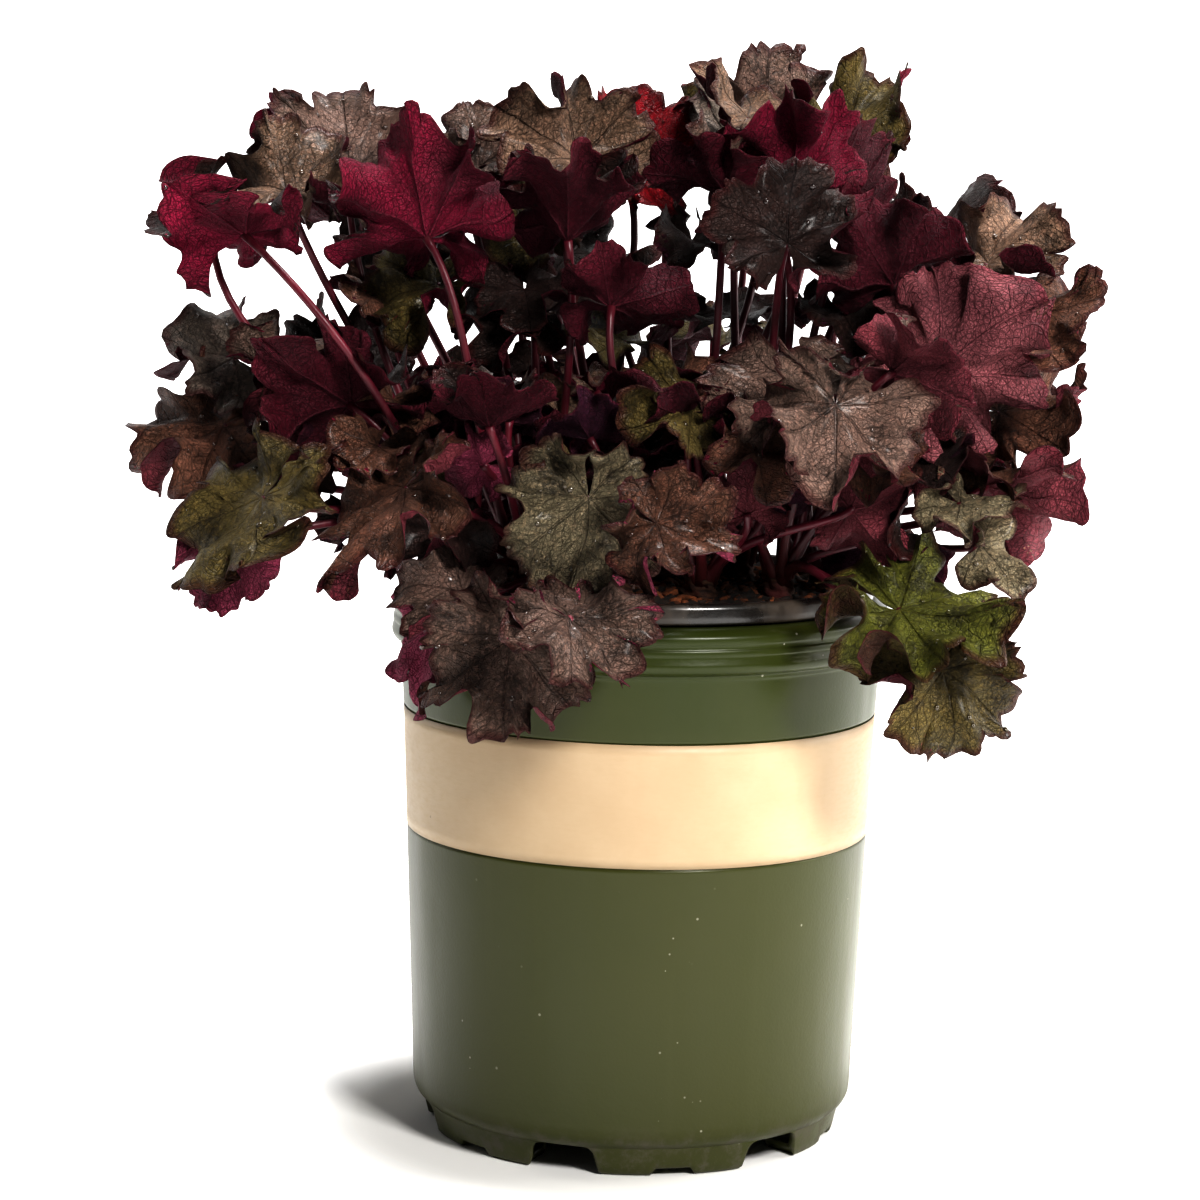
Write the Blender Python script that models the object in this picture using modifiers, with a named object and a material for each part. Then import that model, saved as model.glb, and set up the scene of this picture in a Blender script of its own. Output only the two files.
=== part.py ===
"""A heuchera in its pot: a moulded green pot, the black grow pot hanging in it, a paper band round the
green pot, potting mix, and the crown's leafy shoots.

Everything is in millimetres about the pot's own axis until it is put into a mesh, in metres. The frame's
origin is on the floor, under the middle of the whole plant's box, so the pot's axis stands at AXIS.
"""

import math
from collections import namedtuple
from functools import lru_cache

import bmesh
import bpy
import numpy as np
from mathutils import Euler, Matrix, Vector
from mathutils.bvhtree import BVHTree

MM = 0.001
AXIS = (11.5, -2.5)
TURN = 2.0 * math.pi

# Pot, grow pot and band; the gap is what touching bodies keep
STEPS = 32
GAP = 0.3
LUGS = 6
FIRST_SLOT_DEG = -108.0
SLOT_WIDTH = 21.6
SLOT_TOP = 9.5
NOTCH_WIDTH = 13.0
NOTCH_TOP = 2.6
FOOT_INSIDE = 50.0
FOOT_OUTSIDE = 78.0
BAND_TOP = (78.1, 141.8)
BAND_FOOT = (76.5, 102.0)
BAND_WALL = 0.45

# Potting mix
MIX_RADIUS = 72.3
MIX_FOOT_RADIUS = 67.3
MIX_FOOT = 16.3
MIX_EDGE = 182.0
MIX_MOUND = 5.0
MIX_RELIEF = 1.3
MIX_RINGS = (24.0, 48.0)

# Bark chips on the mix: length, width and thickness at their least and most
CHIPS = 10
CHIP_RADIUS = 60.0
CHIP_LEAST = (6.0, 3.5, 2.0)
CHIP_MOST = (11.0, 6.0, 3.2)
CHIP_SEED = 91
CHIP_CLEAR = 13.5
CHIP_RISE = 3.0

# Crown shoots: where each woody stub stands in its hole in the mix
STUB_RADIUS = 5.2
STUB_TOP_RADIUS = 4.6
STUB_SIDES = 8
STUB_ABOVE = 9.0
STUB_BELOW = 11.0
STUBS = {
    "shoot_01": (-36, -36),
    "shoot_02": (-58, -18),
    "shoot_03": (-54, 10),
    "shoot_04": (-8, -46),
    "shoot_05": (-27, -8),
    "shoot_06": (19, -44),
    "shoot_07": (4, -16),
    "shoot_08": (44, -34),
    "shoot_09": (32, -4),
    "shoot_10": (60, -9),
    "shoot_11": (54, 22),
    "shoot_12": (-34, 36),
    "shoot_13": (0, 26),
    "shoot_14": (28, 44),
}

# Leaf blade
BLADE_WALL = 0.7
LOBE_STEP = {7: math.radians(48.0), 5: math.radians(62.0)}
BASE_EDGE = {7: math.radians(171.0), 5: math.radians(163.0)}
LOBE_DEPTH = 0.30
CUT_SHARPNESS = 3.5
TOOTH = 0.12
MID_RING = 0.55
SHOULDER = 0.3
LARGE = 32.5

# Leaf stalk
STALK_ROOT = 1.75
STALK_NECK = 1.25
STALK_INSET = 3.0
STALK_PIECES = 3

# A row places one leaf: its shoot, where stalk and blade join (mm), the way its tip points (azimuth, 0 to
# the right and -90 to the front; pitch, up is positive), its roll, its length from stalk to tip, how
# steeply it rises at the stalk, how far its tip and its left side bend up by the margin, the ruffle's
# slope, all in degrees, and its number of lobes. Leaves keep their place in the order given.
Leaf = namedtuple("Leaf", "name shoot x y z az pitch roll size cup tip side ruffle lobes")
LEAVES = [
    Leaf("w1", "shoot_04", -40, -93, 178, -100, -66, 8, 33, -5, -12, 0, 39, 7),
    Leaf("w2", "shoot_04", -22, -93, 183, -28, -26, -22, 27, 0, -10, 0, 44, 7),
    Leaf("w3", "shoot_01", -67, -60, 174, -120, -74, 165, 26, 5, 0, 0, 28, 5),
    Leaf("w4", "shoot_04", -56, -88, 188, 172, 8, 46, 23, 5, 0, 0, 39, 5),
    Leaf("t6", "shoot_08", 80, -76, 186, -20, -8, -28, 37, 5, -15, 0, 41, 7),
    Leaf("t7", "shoot_08", 94, -78, 176, -62, -62, -10, 30, 0, -12, 0, 39, 7),
    Leaf("u1", "shoot_04", -13, -88, 220, -98, -66, 0, 33, 0, -14, 0, 41, 7),
    Leaf("u2", "shoot_05", -14, -74, 232, 128, 42, 10, 28, 12, 5, 0, 48, 7),
    Leaf("u3", "shoot_06", 4, -92, 215, -22, -18, -58, 25, 5, 0, 0, 41, 7),
    Leaf("t4", "shoot_10", 100, -52, 217, -35, -16, -16, 22, 5, 0, 0, 39, 5),
    Leaf("s8", "shoot_08", 58, -84, 250, -85, -64, 4, 32, 0, 0, 0, 32, 7),
    Leaf("v4", "shoot_02", -94, -44, 244, 188, -12, -55, 35, 5, -10, 0, 32, 7),
    Leaf("u9", "shoot_01", -74, -80, 221, -142, -38, 0, 35, 0, -18, 0, 39, 7),
    Leaf("v6", "shoot_02", -118, -64, 217, -150, -44, 12, 35, 0, -12, 0, 39, 7),
    Leaf("v5", "shoot_03", -137, -26, 234, -168, -25, 32, 33, 0, -10, 0, 41, 7),
    Leaf("v1", "shoot_03", -136, -6, 251, 172, 12, 42, 28, 5, 0, 0, 39, 5),
    Leaf("v2", "shoot_03", -108, -34, 250, 180, 4, 14, 28, 5, 5, 0, 51, 7),
    Leaf("v3", "shoot_05", -99, -16, 252, 138, 40, 8, 28, 8, 5, 0, 46, 7),
    Leaf("v7", "shoot_02", -128, -60, 201, 190, -62, -80, 22, 5, 0, 0, 28, 5),
    Leaf("u10", "shoot_01", -70, -46, 228, 170, 0, 40, 28, 5, 0, 0, 37, 7),
    Leaf("u7", "shoot_01", -48, -80, 241, -100, 16, 0, 26, 34, 5, 0, 34, 7),
    Leaf("u5", "shoot_06", 14, -58, 245, 178, 10, 36, 27, 8, 0, 0, 37, 7),
    Leaf("u6", "shoot_06", 32, -66, 214, -90, 56, 0, 17, 12, 0, 0, 30, 5),
    Leaf("u8", "shoot_04", -50, -72, 232, 190, 0, -55, 17, 5, 0, 0, 30, 5),
    Leaf("s9", "shoot_06", 50, -60, 251, 178, 0, 30, 32, 5, 0, 0, 41, 7),
    Leaf("s10", "shoot_10", 76, -62, 260, -14, -20, 60, 26, 5, 0, 0, 32, 5),
    Leaf("s3", "shoot_10", 93, -60, 258, 2, 42, 78, 38, 0, 0, 0, 18, 7),
    Leaf("s7", "shoot_10", 116, -30, 243, -10, 6, -36, 33, 5, 0, 0, 44, 7),
    Leaf("s1", "shoot_10", 78, -42, 285, -60, 46, 0, 32, 24, 5, 0, 37, 7),
    Leaf("s2", "shoot_11", 111, 0, 291, 55, 34, 0, 30, 10, 5, 0, 48, 7),
    Leaf("s4", "shoot_11", 120, -16, 271, -12, 2, -26, 30, 5, 0, 0, 44, 7),
    Leaf("s6", "shoot_11", 101, -24, 258, 184, -8, 30, 25, 5, 0, 0, 39, 5),
    Leaf("t1", "shoot_11", 114, -24, 217, -5, -14, 36, 33, 5, -20, 0, 30, 7),
    Leaf("t2", "shoot_08", 72, -40, 208, -20, -22, 60, 28, 5, 0, 0, 37, 7),
    Leaf("t3", "shoot_06", 65, -62, 216, 0, 10, 68, 24, 5, 0, 0, 28, 5),
    Leaf("t5", "shoot_10", 108, -40, 203, -40, -48, 0, 22, 5, 0, 0, 39, 5),
    Leaf("l4", "shoot_02", -128, -26, 297, 184, -4, -30, 30, 8, -10, 0, 39, 7),
    Leaf("l5", "shoot_02", -134, -36, 306, 168, 34, -22, 22, 8, 0, 0, 39, 5),
    Leaf("l1", "shoot_01", -70, -44, 297, 184, 18, -50, 40, 36, -25, 0, 32, 7),
    Leaf("l2", "shoot_03", -100, 8, 315, 108, 52, -8, 35, 8, 20, 0, 34, 7),
    Leaf("l3", "shoot_03", -118, -20, 310, 100, 30, 10, 29, 8, 5, 0, 48, 7),
    Leaf("l6", "shoot_12", -112, 30, 331, 170, 5, -14, 24, 5, 0, 0, 32, 5),
    Leaf("m1", "shoot_05", -26, -36, 297, -90, 24, 0, 37, 42, -10, 0, 37, 7),
    Leaf("m2", "shoot_05", -24, -6, 322, 112, 44, 0, 32, 12, 10, 0, 53, 7),
    Leaf("m3", "shoot_13", -10, 26, 319, 80, 68, 0, 32, 8, 0, 0, 28, 5),
    Leaf("m4", "shoot_12", -57, 18, 319, 120, 56, 0, 24, 8, 0, 0, 32, 5),
    Leaf("m5", "shoot_12", -62, -8, 312, 155, 20, 6, 26, 10, 0, 0, 51, 7),
    Leaf("m6", "shoot_05", -52, -4, 303, -70, -46, 0, 24, 0, -10, 0, 39, 5),
    Leaf("m7", "shoot_13", -23, 34, 294, -60, -36, 0, 30, 0, -10, 0, 39, 7),
    Leaf("m8", "shoot_06", -12, -42, 277, 0, 4, 42, 27, 18, 0, 0, 34, 7),
    Leaf("m9", "shoot_12", -30, 6, 272, 178, -6, 30, 26, 5, 0, 0, 39, 5),
    Leaf("m10", "shoot_01", -69, -10, 281, -172, -16, 36, 27, 5, -10, 0, 46, 7),
    Leaf("r7", "shoot_06", 43, -54, 298, 95, 74, 0, 28, 12, 0, 0, 28, 5),
    Leaf("r6", "shoot_09", 46, -12, 316, -84, 44, 0, 32, 28, 0, 0, 34, 7),
    Leaf("r8", "shoot_07", 56, -34, 307, 8, 16, 50, 37, 30, 0, 0, 34, 7),
    Leaf("r10", "shoot_09", 46, -48, 297, 180, 4, 20, 26, 5, 0, 0, 39, 7),
    Leaf("r1", "shoot_09", 31, 8, 337, 150, 36, 0, 24, 8, 0, 0, 46, 5),
    Leaf("r2", "shoot_07", 36, -12, 331, 176, 0, 8, 32, 5, 0, 0, 46, 7),
    Leaf("r3", "shoot_07", 33, -28, 312, 172, 12, -34, 31, 20, 0, 0, 37, 7),
    Leaf("r4", "shoot_14", 40, 26, 329, 95, 60, 0, 31, 16, 0, 0, 41, 7),
    Leaf("r5", "shoot_11", 66, 34, 327, 65, 40, 0, 31, 10, 0, 0, 48, 7),
    Leaf("r9", "shoot_09", 56, 8, 303, 30, 8, 10, 28, 5, 0, 0, 39, 5),
    Leaf("d1", "shoot_13", -8, 18, 262, 120, 6, 0, 26, 5, 0, 0, 39, 5),
    Leaf("d2", "shoot_14", 30, 22, 270, 60, 6, 0, 26, 5, 0, 0, 39, 5),
    Leaf("d3", "shoot_11", 74, 12, 258, -20, 2, -10, 26, 5, 0, 0, 39, 5),
    Leaf("d4", "shoot_12", -52, 30, 246, 150, 0, 10, 26, 5, 0, 0, 39, 5),
    Leaf("b1", "shoot_14", 96, 58, 300, 35, 15, 0, 31, 8, 0, 0, 44, 7),
    Leaf("b2", "shoot_14", 58, 96, 310, 62, 20, 0, 31, 8, 0, 0, 44, 7),
    Leaf("b3", "shoot_13", 6, 84, 326, 84, 30, 0, 31, 12, 0, 0, 41, 7),
    Leaf("b4", "shoot_13", -44, 92, 300, 112, 15, 0, 31, 8, 0, 0, 44, 7),
    Leaf("b5", "shoot_12", -92, 66, 296, 142, 15, 0, 31, 8, 0, 0, 44, 7),
    Leaf("b6", "shoot_11", 112, 42, 246, 20, -12, 0, 31, 5, -10, 0, 41, 7),
    Leaf("b7", "shoot_14", 82, 92, 248, 50, -12, 0, 31, 5, -10, 0, 41, 7),
    Leaf("b8", "shoot_14", 24, 112, 258, 82, -6, 0, 31, 5, -10, 0, 41, 7),
    Leaf("b9", "shoot_12", -36, 112, 240, 108, -14, 0, 31, 5, -10, 0, 41, 7),
    Leaf("b10", "shoot_12", -92, 86, 236, 135, -14, 0, 31, 5, -10, 0, 41, 7),
    Leaf("b11", "shoot_03", -124, 34, 244, 162, -8, 0, 31, 5, -10, 0, 41, 7),
    Leaf("b12", "shoot_13", 2, 104, 208, 86, -32, 0, 31, 0, -12, 0, 39, 7),
    Leaf("b13", "shoot_14", 66, 72, 196, 48, -34, 0, 30, 0, -12, 0, 39, 7),
    Leaf("b14", "shoot_12", -66, 70, 194, 132, -34, 0, 30, 0, -12, 0, 39, 7),
]
FIRST_SEED = 400

# How a leaf may give way to its neighbours: sideways, in depth and in height (mm), in roll and pitch
# (degrees), and by a bow of its stalk (mm); the least change that clears them is taken.
CLEAR_OF_OTHERS = 0.8
SHIFTS_DEPTH = (0, -5, 5, -10, 10, -16, 16, -24, 24, 32, 40, 48)
SHIFTS_SIDE = (0, -4, 4, -8, 8)
SHIFTS_HEIGHT = (0, -4, 4, -8, 8)
TILTS = (0, -12, 12)
BOWS = (0, -10, 10, -20, 20)
SMALLER = (1.0, 0.86)


def unit(vector):
    return np.asarray(vector, float) / np.linalg.norm(vector)


def frame_of(leaf, tilt=0.0):
    """The blade's tip direction, its left side and its upper face's normal, as unit vectors."""
    az, pitch, roll = (math.radians(v) for v in (leaf.az, leaf.pitch + tilt, leaf.roll))
    tip = np.array([math.cos(az) * math.cos(pitch), math.sin(az) * math.cos(pitch), math.sin(pitch)])
    level = np.array([-math.sin(az), math.cos(az), 0.0])
    above = np.cross(tip, level)
    side = level * math.cos(roll) - above * math.sin(roll)
    face = above * math.cos(roll) + level * math.sin(roll)
    return tip, side, face


def margin(leaf, nature, theta):
    """Distance from stalk to margin: an egg-shaped leaf, cut between its lobes and toothed on each."""
    turn = np.abs(theta) / LOBE_STEP[leaf.lobes]
    cut = (0.5 - 0.5 * np.cos(TURN * turn)) ** CUT_SHARPNESS
    teeth = TOOTH * (np.abs(np.cos(1.5 * TURN * turn)) - 0.5)
    egg = 0.82 + 0.18 * np.cos(theta)
    uneven = 1.0 + nature["uneven"][0] * np.sin(2 * theta + nature["phase"][0])
    uneven += nature["uneven"][1] * np.sin(3 * theta + nature["phase"][1])
    return leaf.size * egg * (1.0 - LOBE_DEPTH * cut) * (1.0 + teeth) * uneven


def nature_of(leaf, number):
    """What differs by chance from leaf to leaf."""
    chance = np.random.default_rng(FIRST_SEED + number)
    return {
        "uneven": chance.uniform(0.02, 0.07, 2),
        "phase": chance.uniform(0.0, TURN, 5),
        "wander": np.radians(chance.uniform(8.0, 24.0, 3)),
        "bow": chance.uniform(-6.0, 6.0, 2),
    }


def blade_points(leaf, nature, rho, theta):
    """Points of the blade about its stalk, along tip, side and face.

    Along each ray the slope goes evenly from the cup at the stalk to the margin's own slope, which drops
    at the tip of each lobe, rises between lobes and wanders round the leaf: each ray is a circular arc.
    """
    slope_in = math.radians(leaf.cup)
    turn = np.abs(theta) / LOBE_STEP[leaf.lobes]
    slope_out = math.radians(leaf.tip) * np.cos(theta) + math.radians(leaf.side) * np.sin(theta)
    slope_out = slope_out - math.radians(leaf.ruffle) * np.cos(TURN * turn)
    for k, wander, phase in zip((2, 3, 5), nature["wander"], nature["phase"][2:]):
        slope_out = slope_out + wander * np.sin(k * theta + phase)
    bend = (slope_out - 0.2 * slope_in) * rho
    length = rho * margin(leaf, nature, theta) * np.sinc(0.5 * bend / math.pi)
    middle = slope_in + 0.5 * bend
    out, up = length * np.cos(middle), length * np.sin(middle)
    return out * np.cos(theta), out * np.sin(theta), up


def blade_grid(leaf):
    """The coarse blade's rays and its triangles.

    A large blade is a fan and then three triangles to each half lobe; any other is a fan alone.
    """
    step, edge = LOBE_STEP[leaf.lobes], BASE_EDGE[leaf.lobes]
    lobes = range(-(leaf.lobes // 2), leaf.lobes // 2 + 1)
    cuts = [(k + 0.5) * step for k in lobes[:-1]]
    shoulders = [(k + side * SHOULDER) * step for k in lobes for side in (-1, 1)]
    if leaf.size < LARGE:
        outer = sorted([-edge, *cuts, *shoulders, edge])
        faces = [(0, i, i + 1) for i in range(1, len(outer))]
        return np.array([0.0] + [1.0] * len(outer)), np.array([0.0] + outer), faces
    inner = sorted([-edge, *cuts, *(k * step for k in lobes), edge])
    outer = sorted(inner + shoulders)
    first_outer = 1 + len(inner)
    faces = []
    for i in range(len(inner) - 1):
        p, q = 1 + i, 2 + i
        a = first_outer + 2 * i
        faces += [(0, p, q), (p, a, a + 1), (p, a + 1, q), (q, a + 1, a + 2)]
    rho = np.array([0.0] + [MID_RING] * len(inner) + [1.0] * len(outer))
    return rho, np.array([0.0] + inner + outer), faces


def placed_blade(leaf, nature, hub, tilt):
    rho, theta, faces = blade_grid(leaf)
    tip, side, face = frame_of(leaf, tilt)
    along, across, up = blade_points(leaf, nature, rho, theta)
    points = hub + np.outer(along, tip) + np.outer(across, side) + np.outer(up, face)
    return points, faces


def midrib(leaf, nature):
    """The way the coarse blade leaves its stalk towards its tip, along tip, side and face."""
    reach, spread = (MID_RING, 0.0) if leaf.size >= LARGE else (1.0, SHOULDER * LOBE_STEP[leaf.lobes])
    points = np.array(blade_points(leaf, nature, reach, np.array([-spread, spread])))
    return unit(points.mean(axis=1))


def stalk_path(leaf, nature, hub, tilt, bow, t):
    """A cubic curve from inside the stub to the blade, which it meets from below and behind."""
    tip, side, face = frame_of(leaf, tilt)
    stub = np.array([*STUBS[leaf.shoot], mix_height(*STUBS[leaf.shoot]) + STUB_ABOVE - 4.0])
    out = hub - stub
    out[2] = 0.0
    reach = np.linalg.norm(hub - stub)
    outward = unit(out)
    start = stub + 2.0 * outward
    sway = np.array([-outward[1], outward[0], 0.0])
    arrive = unit(0.45 * tip + 0.85 * face + 0.25 * outward)
    first = start + 0.38 * reach * unit([*(0.5 * outward[:2]), 1.0]) + (bow + nature["bow"][0]) * sway
    end = hub + STALK_INSET * midrib(leaf, nature) @ np.array([tip, side, face])
    second = end - 0.34 * reach * arrive + (bow + nature["bow"][1]) * sway
    t = np.asarray(t)[:, None]
    return (1 - t) ** 3 * start + 3 * t * (1 - t) ** 2 * first + 3 * t**2 * (1 - t) * second + t**3 * end


def stalk_radius(t):
    return STALK_ROOT + (STALK_NECK - STALK_ROOT) * np.asarray(t)


def mix_height(x, y):
    """The potting mix's surface: a low mound with seeded waves over it."""
    r2 = (x * x + y * y) / MIX_RADIUS**2
    waves = np.sin(0.19 * x + 0.11 * y + 0.6) * np.cos(0.23 * y - 0.07 * x)
    waves = waves + 0.6 * np.sin(0.41 * x - 0.31 * y + 1.3)
    return MIX_EDGE + MIX_MOUND * (1.0 - r2) + MIX_RELIEF * waves * (1.0 - r2)


def thick_blade(points, faces, wall):
    """Both faces of a blade, pushed apart along its normals, as loose triangles."""
    corners = points[np.array(faces)]
    flat = np.cross(corners[:, 1] - corners[:, 0], corners[:, 2] - corners[:, 0])
    normals = np.zeros_like(points)
    for i in range(3):
        np.add.at(normals, np.array(faces)[:, i], flat)
    normals /= np.linalg.norm(normals, axis=1)[:, None]
    both = np.vstack([points + 0.5 * wall * normals, points - 0.5 * wall * normals])
    return both, np.vstack([np.array(faces), np.array(faces) + len(points)])


def tube(path, radius, sides=4):
    """A tube's open side wall along a path, as loose triangles."""
    ahead = np.gradient(path, axis=0)
    ahead /= np.linalg.norm(ahead, axis=1)[:, None]
    across = np.cross(ahead, [0.31, 0.77, 0.55])
    across /= np.linalg.norm(across, axis=1)[:, None]
    third = np.cross(ahead, across)
    angle = np.arange(sides) * TURN / sides
    rings = path[:, None] + radius[:, None, None] * (
        np.cos(angle)[None, :, None] * across[:, None] + np.sin(angle)[None, :, None] * third[:, None]
    )
    faces = []
    for i in range(len(path) - 1):
        for j in range(sides):
            a, b = i * sides + j, i * sides + (j + 1) % sides
            faces += [(a, b, b + sides), (a, b + sides, a + sides)]
    return rings.reshape(-1, 3), np.array(faces)


def lathe_shell(profile, steps):
    """A turned surface as loose triangles, for measuring what is clear of it."""
    angle = np.arange(steps) * TURN / steps
    profile = np.array(profile)
    points = np.stack(
        [
            profile[:, None, 0] * np.cos(angle),
            profile[:, None, 0] * np.sin(angle),
            np.repeat(profile[:, None, 1], steps, axis=1),
        ],
        axis=-1,
    ).reshape(-1, 3)
    faces = []
    for i in range(len(profile) - 1):
        for j in range(steps):
            a, b = i * steps + j, i * steps + (j + 1) % steps
            faces += [(a, b, b + steps), (a, b + steps, a + steps)]
    return points, np.array(faces)


def bvh(points, faces):
    return BVHTree.FromPolygons(points.tolist(), [tuple(f) for f in faces.tolist()])


def box_of(points):
    return points.min(axis=0), points.max(axis=0)


def boxes_meet(a, b):
    return bool((a[0] <= b[1]).all() and (b[0] <= a[1]).all())


def meets(mine, others):
    """Whether any of my surfaces cuts one of the others."""
    return any(boxes_meet(mine[0], other[0]) and mine[1].overlap(other[1]) for other in others)


def solid(points, faces):
    return box_of(points), bvh(points, faces)


def stub_column(shoot):
    x, y = STUBS[shoot]
    top = mix_height(x, y) + STUB_ABOVE + 0.5
    radius = STUB_RADIUS + 1.0
    points, faces = lathe_shell([(radius, MIX_EDGE - 4.0), (radius, top), (0.1, top)], STUB_SIDES)
    return solid(points + np.array([x, y, 0.0]), faces)


@lru_cache(maxsize=1)
def ways():
    """Every shift and tilt of a blade, the smallest first."""
    found = []
    for depth in SHIFTS_DEPTH:
        for side in SHIFTS_SIDE:
            for height in SHIFTS_HEIGHT:
                for tilt in TILTS:
                    cost = abs(depth) + 3.0 * abs(side) + 3.0 * abs(height) + 1.2 * abs(tilt)
                    found.append((cost, side, depth, height, tilt))
    return sorted(found)


def ground_shell():
    """The mix's surface as loose triangles, raised by as much as a bark chip stands out."""
    steps = STEPS
    angle = np.arange(steps) * TURN / steps
    rings = [(0.1, 0.0)] + [(r, a) for r in (*MIX_RINGS, MIX_RADIUS) for a in angle]
    points = np.array([(r * math.cos(a), r * math.sin(a), 0.0) for r, a in rings])
    points[:, 2] = mix_height(points[:, 0], points[:, 1]) + CHIP_RISE
    faces = [(0, 1 + j, 1 + (j + 1) % steps) for j in range(steps)]
    for ring in range(len(MIX_RINGS)):
        for j in range(steps):
            a, b = 1 + ring * steps + j, 1 + ring * steps + (j + 1) % steps
            faces += [(a, b, b + steps), (a, b + steps, a + steps)]
    return points, np.array(faces)


def room_for(leaf, nature, blades, stalks, strangers):
    """The least shift, tilt and stalk bow that keep a leaf clear of all that stands, or None."""
    t = np.linspace(0.0, 1.0, STALK_PIECES + 1)
    around = blades + strangers + [stalk for shoot, stalk in stalks if shoot == leaf.shoot]
    for _, side, depth, height, tilt in ways():
        hub = np.array([leaf.x + side, leaf.y + depth, leaf.z + height], float)
        points, faces = placed_blade(leaf, nature, hub, tilt)
        if meets(solid(*thick_blade(points, faces, BLADE_WALL + 2 * CLEAR_OF_OTHERS)), around):
            continue
        for bow in BOWS:
            path = stalk_path(leaf, nature, hub, tilt, bow, t)
            stalk = solid(*tube(path, stalk_radius(t) + CLEAR_OF_OTHERS))
            if not meets(stalk, blades + strangers):
                return hub, tilt, bow
    return None


def settle():
    """Each leaf at its size, hub, tilt and stalk bow, clear of pot, mix and every leaf placed before it."""
    fixed = [
        solid(*lathe_shell(POT_PROFILE, STEPS)),
        solid(*lathe_shell(GROW_POT_PROFILE, STEPS)),
        solid(*ground_shell()),
    ]
    columns = {shoot: stub_column(shoot) for shoot in STUBS}
    blades, stalks, placed = [], [], []
    t = np.linspace(0.0, 1.0, STALK_PIECES + 1)
    for number, row in enumerate(LEAVES):
        strangers = fixed + [column for shoot, column in columns.items() if shoot != row.shoot]
        strangers += [stalk for shoot, stalk in stalks if shoot != row.shoot]
        for scale in SMALLER:
            leaf = row._replace(size=scale * row.size)
            nature = nature_of(leaf, number)
            found = room_for(leaf, nature, blades, stalks, strangers)
            if found:
                break
        if not found:
            raise ValueError(f"leaf {row.name} finds no room")
        hub, tilt, bow = found
        placed.append((leaf, nature, hub, tilt, bow))
        blades.append(solid(*thick_blade(*placed_blade(leaf, nature, hub, tilt), BLADE_WALL)))
        path = stalk_path(leaf, nature, hub, tilt, bow, t)
        stalks.append((leaf.shoot, solid(*tube(path, stalk_radius(t)))))
    return placed


POT_PROFILE = [
    (0.0, 10.6),
    (53.5, 10.6),
    (57.0, 4.0),
    (66.4, 4.0),
    (72.2, 18.0),
    (76.9, 142.0),
    (78.8, 174.0),
    (75.8, 177.4),
    (75.8, 179.0),
    (78.6, 178.8),
    (82.2, 176.4),
    (82.5, 168.4),
    (83.0, 167.0),
    (82.3, 165.2),
    (80.0, 163.6),
    (78.7, 142.4),
    (78.1, 142.1),
    (76.5, 101.7),
    (77.0, 101.4),
    (73.9, 19.0),
    (69.9, 7.4),
    (68.3, 0.9),
    (67.2, 0.0),
    (56.2, 0.0),
    (52.4, 9.2),
    (0.0, 9.2),
]
GROW_POT_PROFILE = [
    (0.0, 15.8),
    (67.6, 15.8),
    (72.7, 178.0),
    (72.9, 184.2),
    (73.9, 185.9),
    (75.4, 186.2),
    (76.5, 184.8),
    (76.9, 181.2),
    (76.5, 179.3),
    (74.6, 179.3),
    (74.1, 176.0),
    (69.0, 14.6),
    (0.0, 14.6),
]


def clear_scene():
    for old in list(bpy.data.objects):
        bpy.data.objects.remove(old)


def new_collection(name, hidden=False):
    made = bpy.data.collections.new(name)
    bpy.context.scene.collection.children.link(made)
    made.hide_render = hidden
    return made


def material(name, colour, roughness):
    made = bpy.data.materials.new(name)
    made.use_nodes = True
    surface = made.node_tree.nodes["Principled BSDF"]
    surface.inputs["Base Color"].default_value = (*colour, 1.0)
    surface.inputs["Roughness"].default_value = roughness
    made.diffuse_color = (*colour, 1.0)
    return made


def add_object(name, mesh, collection):
    body = bpy.data.objects.new(name, mesh)
    collection.objects.link(body)
    return body


def on_axis(x=0.0, y=0.0, z=0.0):
    """A place about the pot's axis, in the frame's metres."""
    return Vector((AXIS[0] + x, AXIS[1] + y, z)) * MM


def turned(name, profile, steps, collection, closed=False):
    """A body turned about the pot's axis from its profile of (radius, height), by a Screw."""
    outline = bpy.data.meshes.new(name)
    edges = [(i, i + 1) for i in range(len(profile) - 1)]
    if closed:
        edges.append((len(profile) - 1, 0))
    outline.from_pydata([(r * MM, 0.0, z * MM) for r, z in profile], edges, [])
    body = add_object(name, outline, collection)
    body.location = on_axis()
    screw = body.modifiers.new("Turn", "SCREW")
    screw.steps = steps
    screw.render_steps = steps
    screw.use_merge_vertices = True
    screw.merge_threshold = 0.02 * MM
    screw.use_smooth_shade = False
    return body


def apply_modifiers(body):
    """Makes what the object's modifiers give its own mesh."""
    graph = bpy.context.evaluated_depsgraph_get()
    mesh = bpy.data.meshes.new_from_object(body.evaluated_get(graph))
    body.modifiers.clear()
    body.data = mesh


def block(name, size, place, turn, collection):
    """A box of a size, at a place, turned."""
    shape = bmesh.new()
    bmesh.ops.create_cube(shape, size=1.0, matrix=Matrix.Diagonal((*(side * MM for side in size), 1.0)))
    mesh = bpy.data.meshes.new(name)
    shape.to_mesh(mesh)
    shape.free()
    body = add_object(name, mesh, collection)
    body.location = place
    body.rotation_euler = turn
    return body


def post(name, foot_radius, top_radius, foot, top, x, y, collection):
    """An upright post with STUB_SIDES sides between two heights."""
    shape = bmesh.new()
    bmesh.ops.create_cone(
        shape,
        cap_ends=True,
        segments=STUB_SIDES,
        radius1=foot_radius * MM,
        radius2=top_radius * MM,
        depth=(top - foot) * MM,
    )
    mesh = bpy.data.meshes.new(name)
    shape.to_mesh(mesh)
    shape.free()
    body = add_object(name, mesh, collection)
    body.location = on_axis(x, y, 0.5 * (top + foot))
    return body


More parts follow.
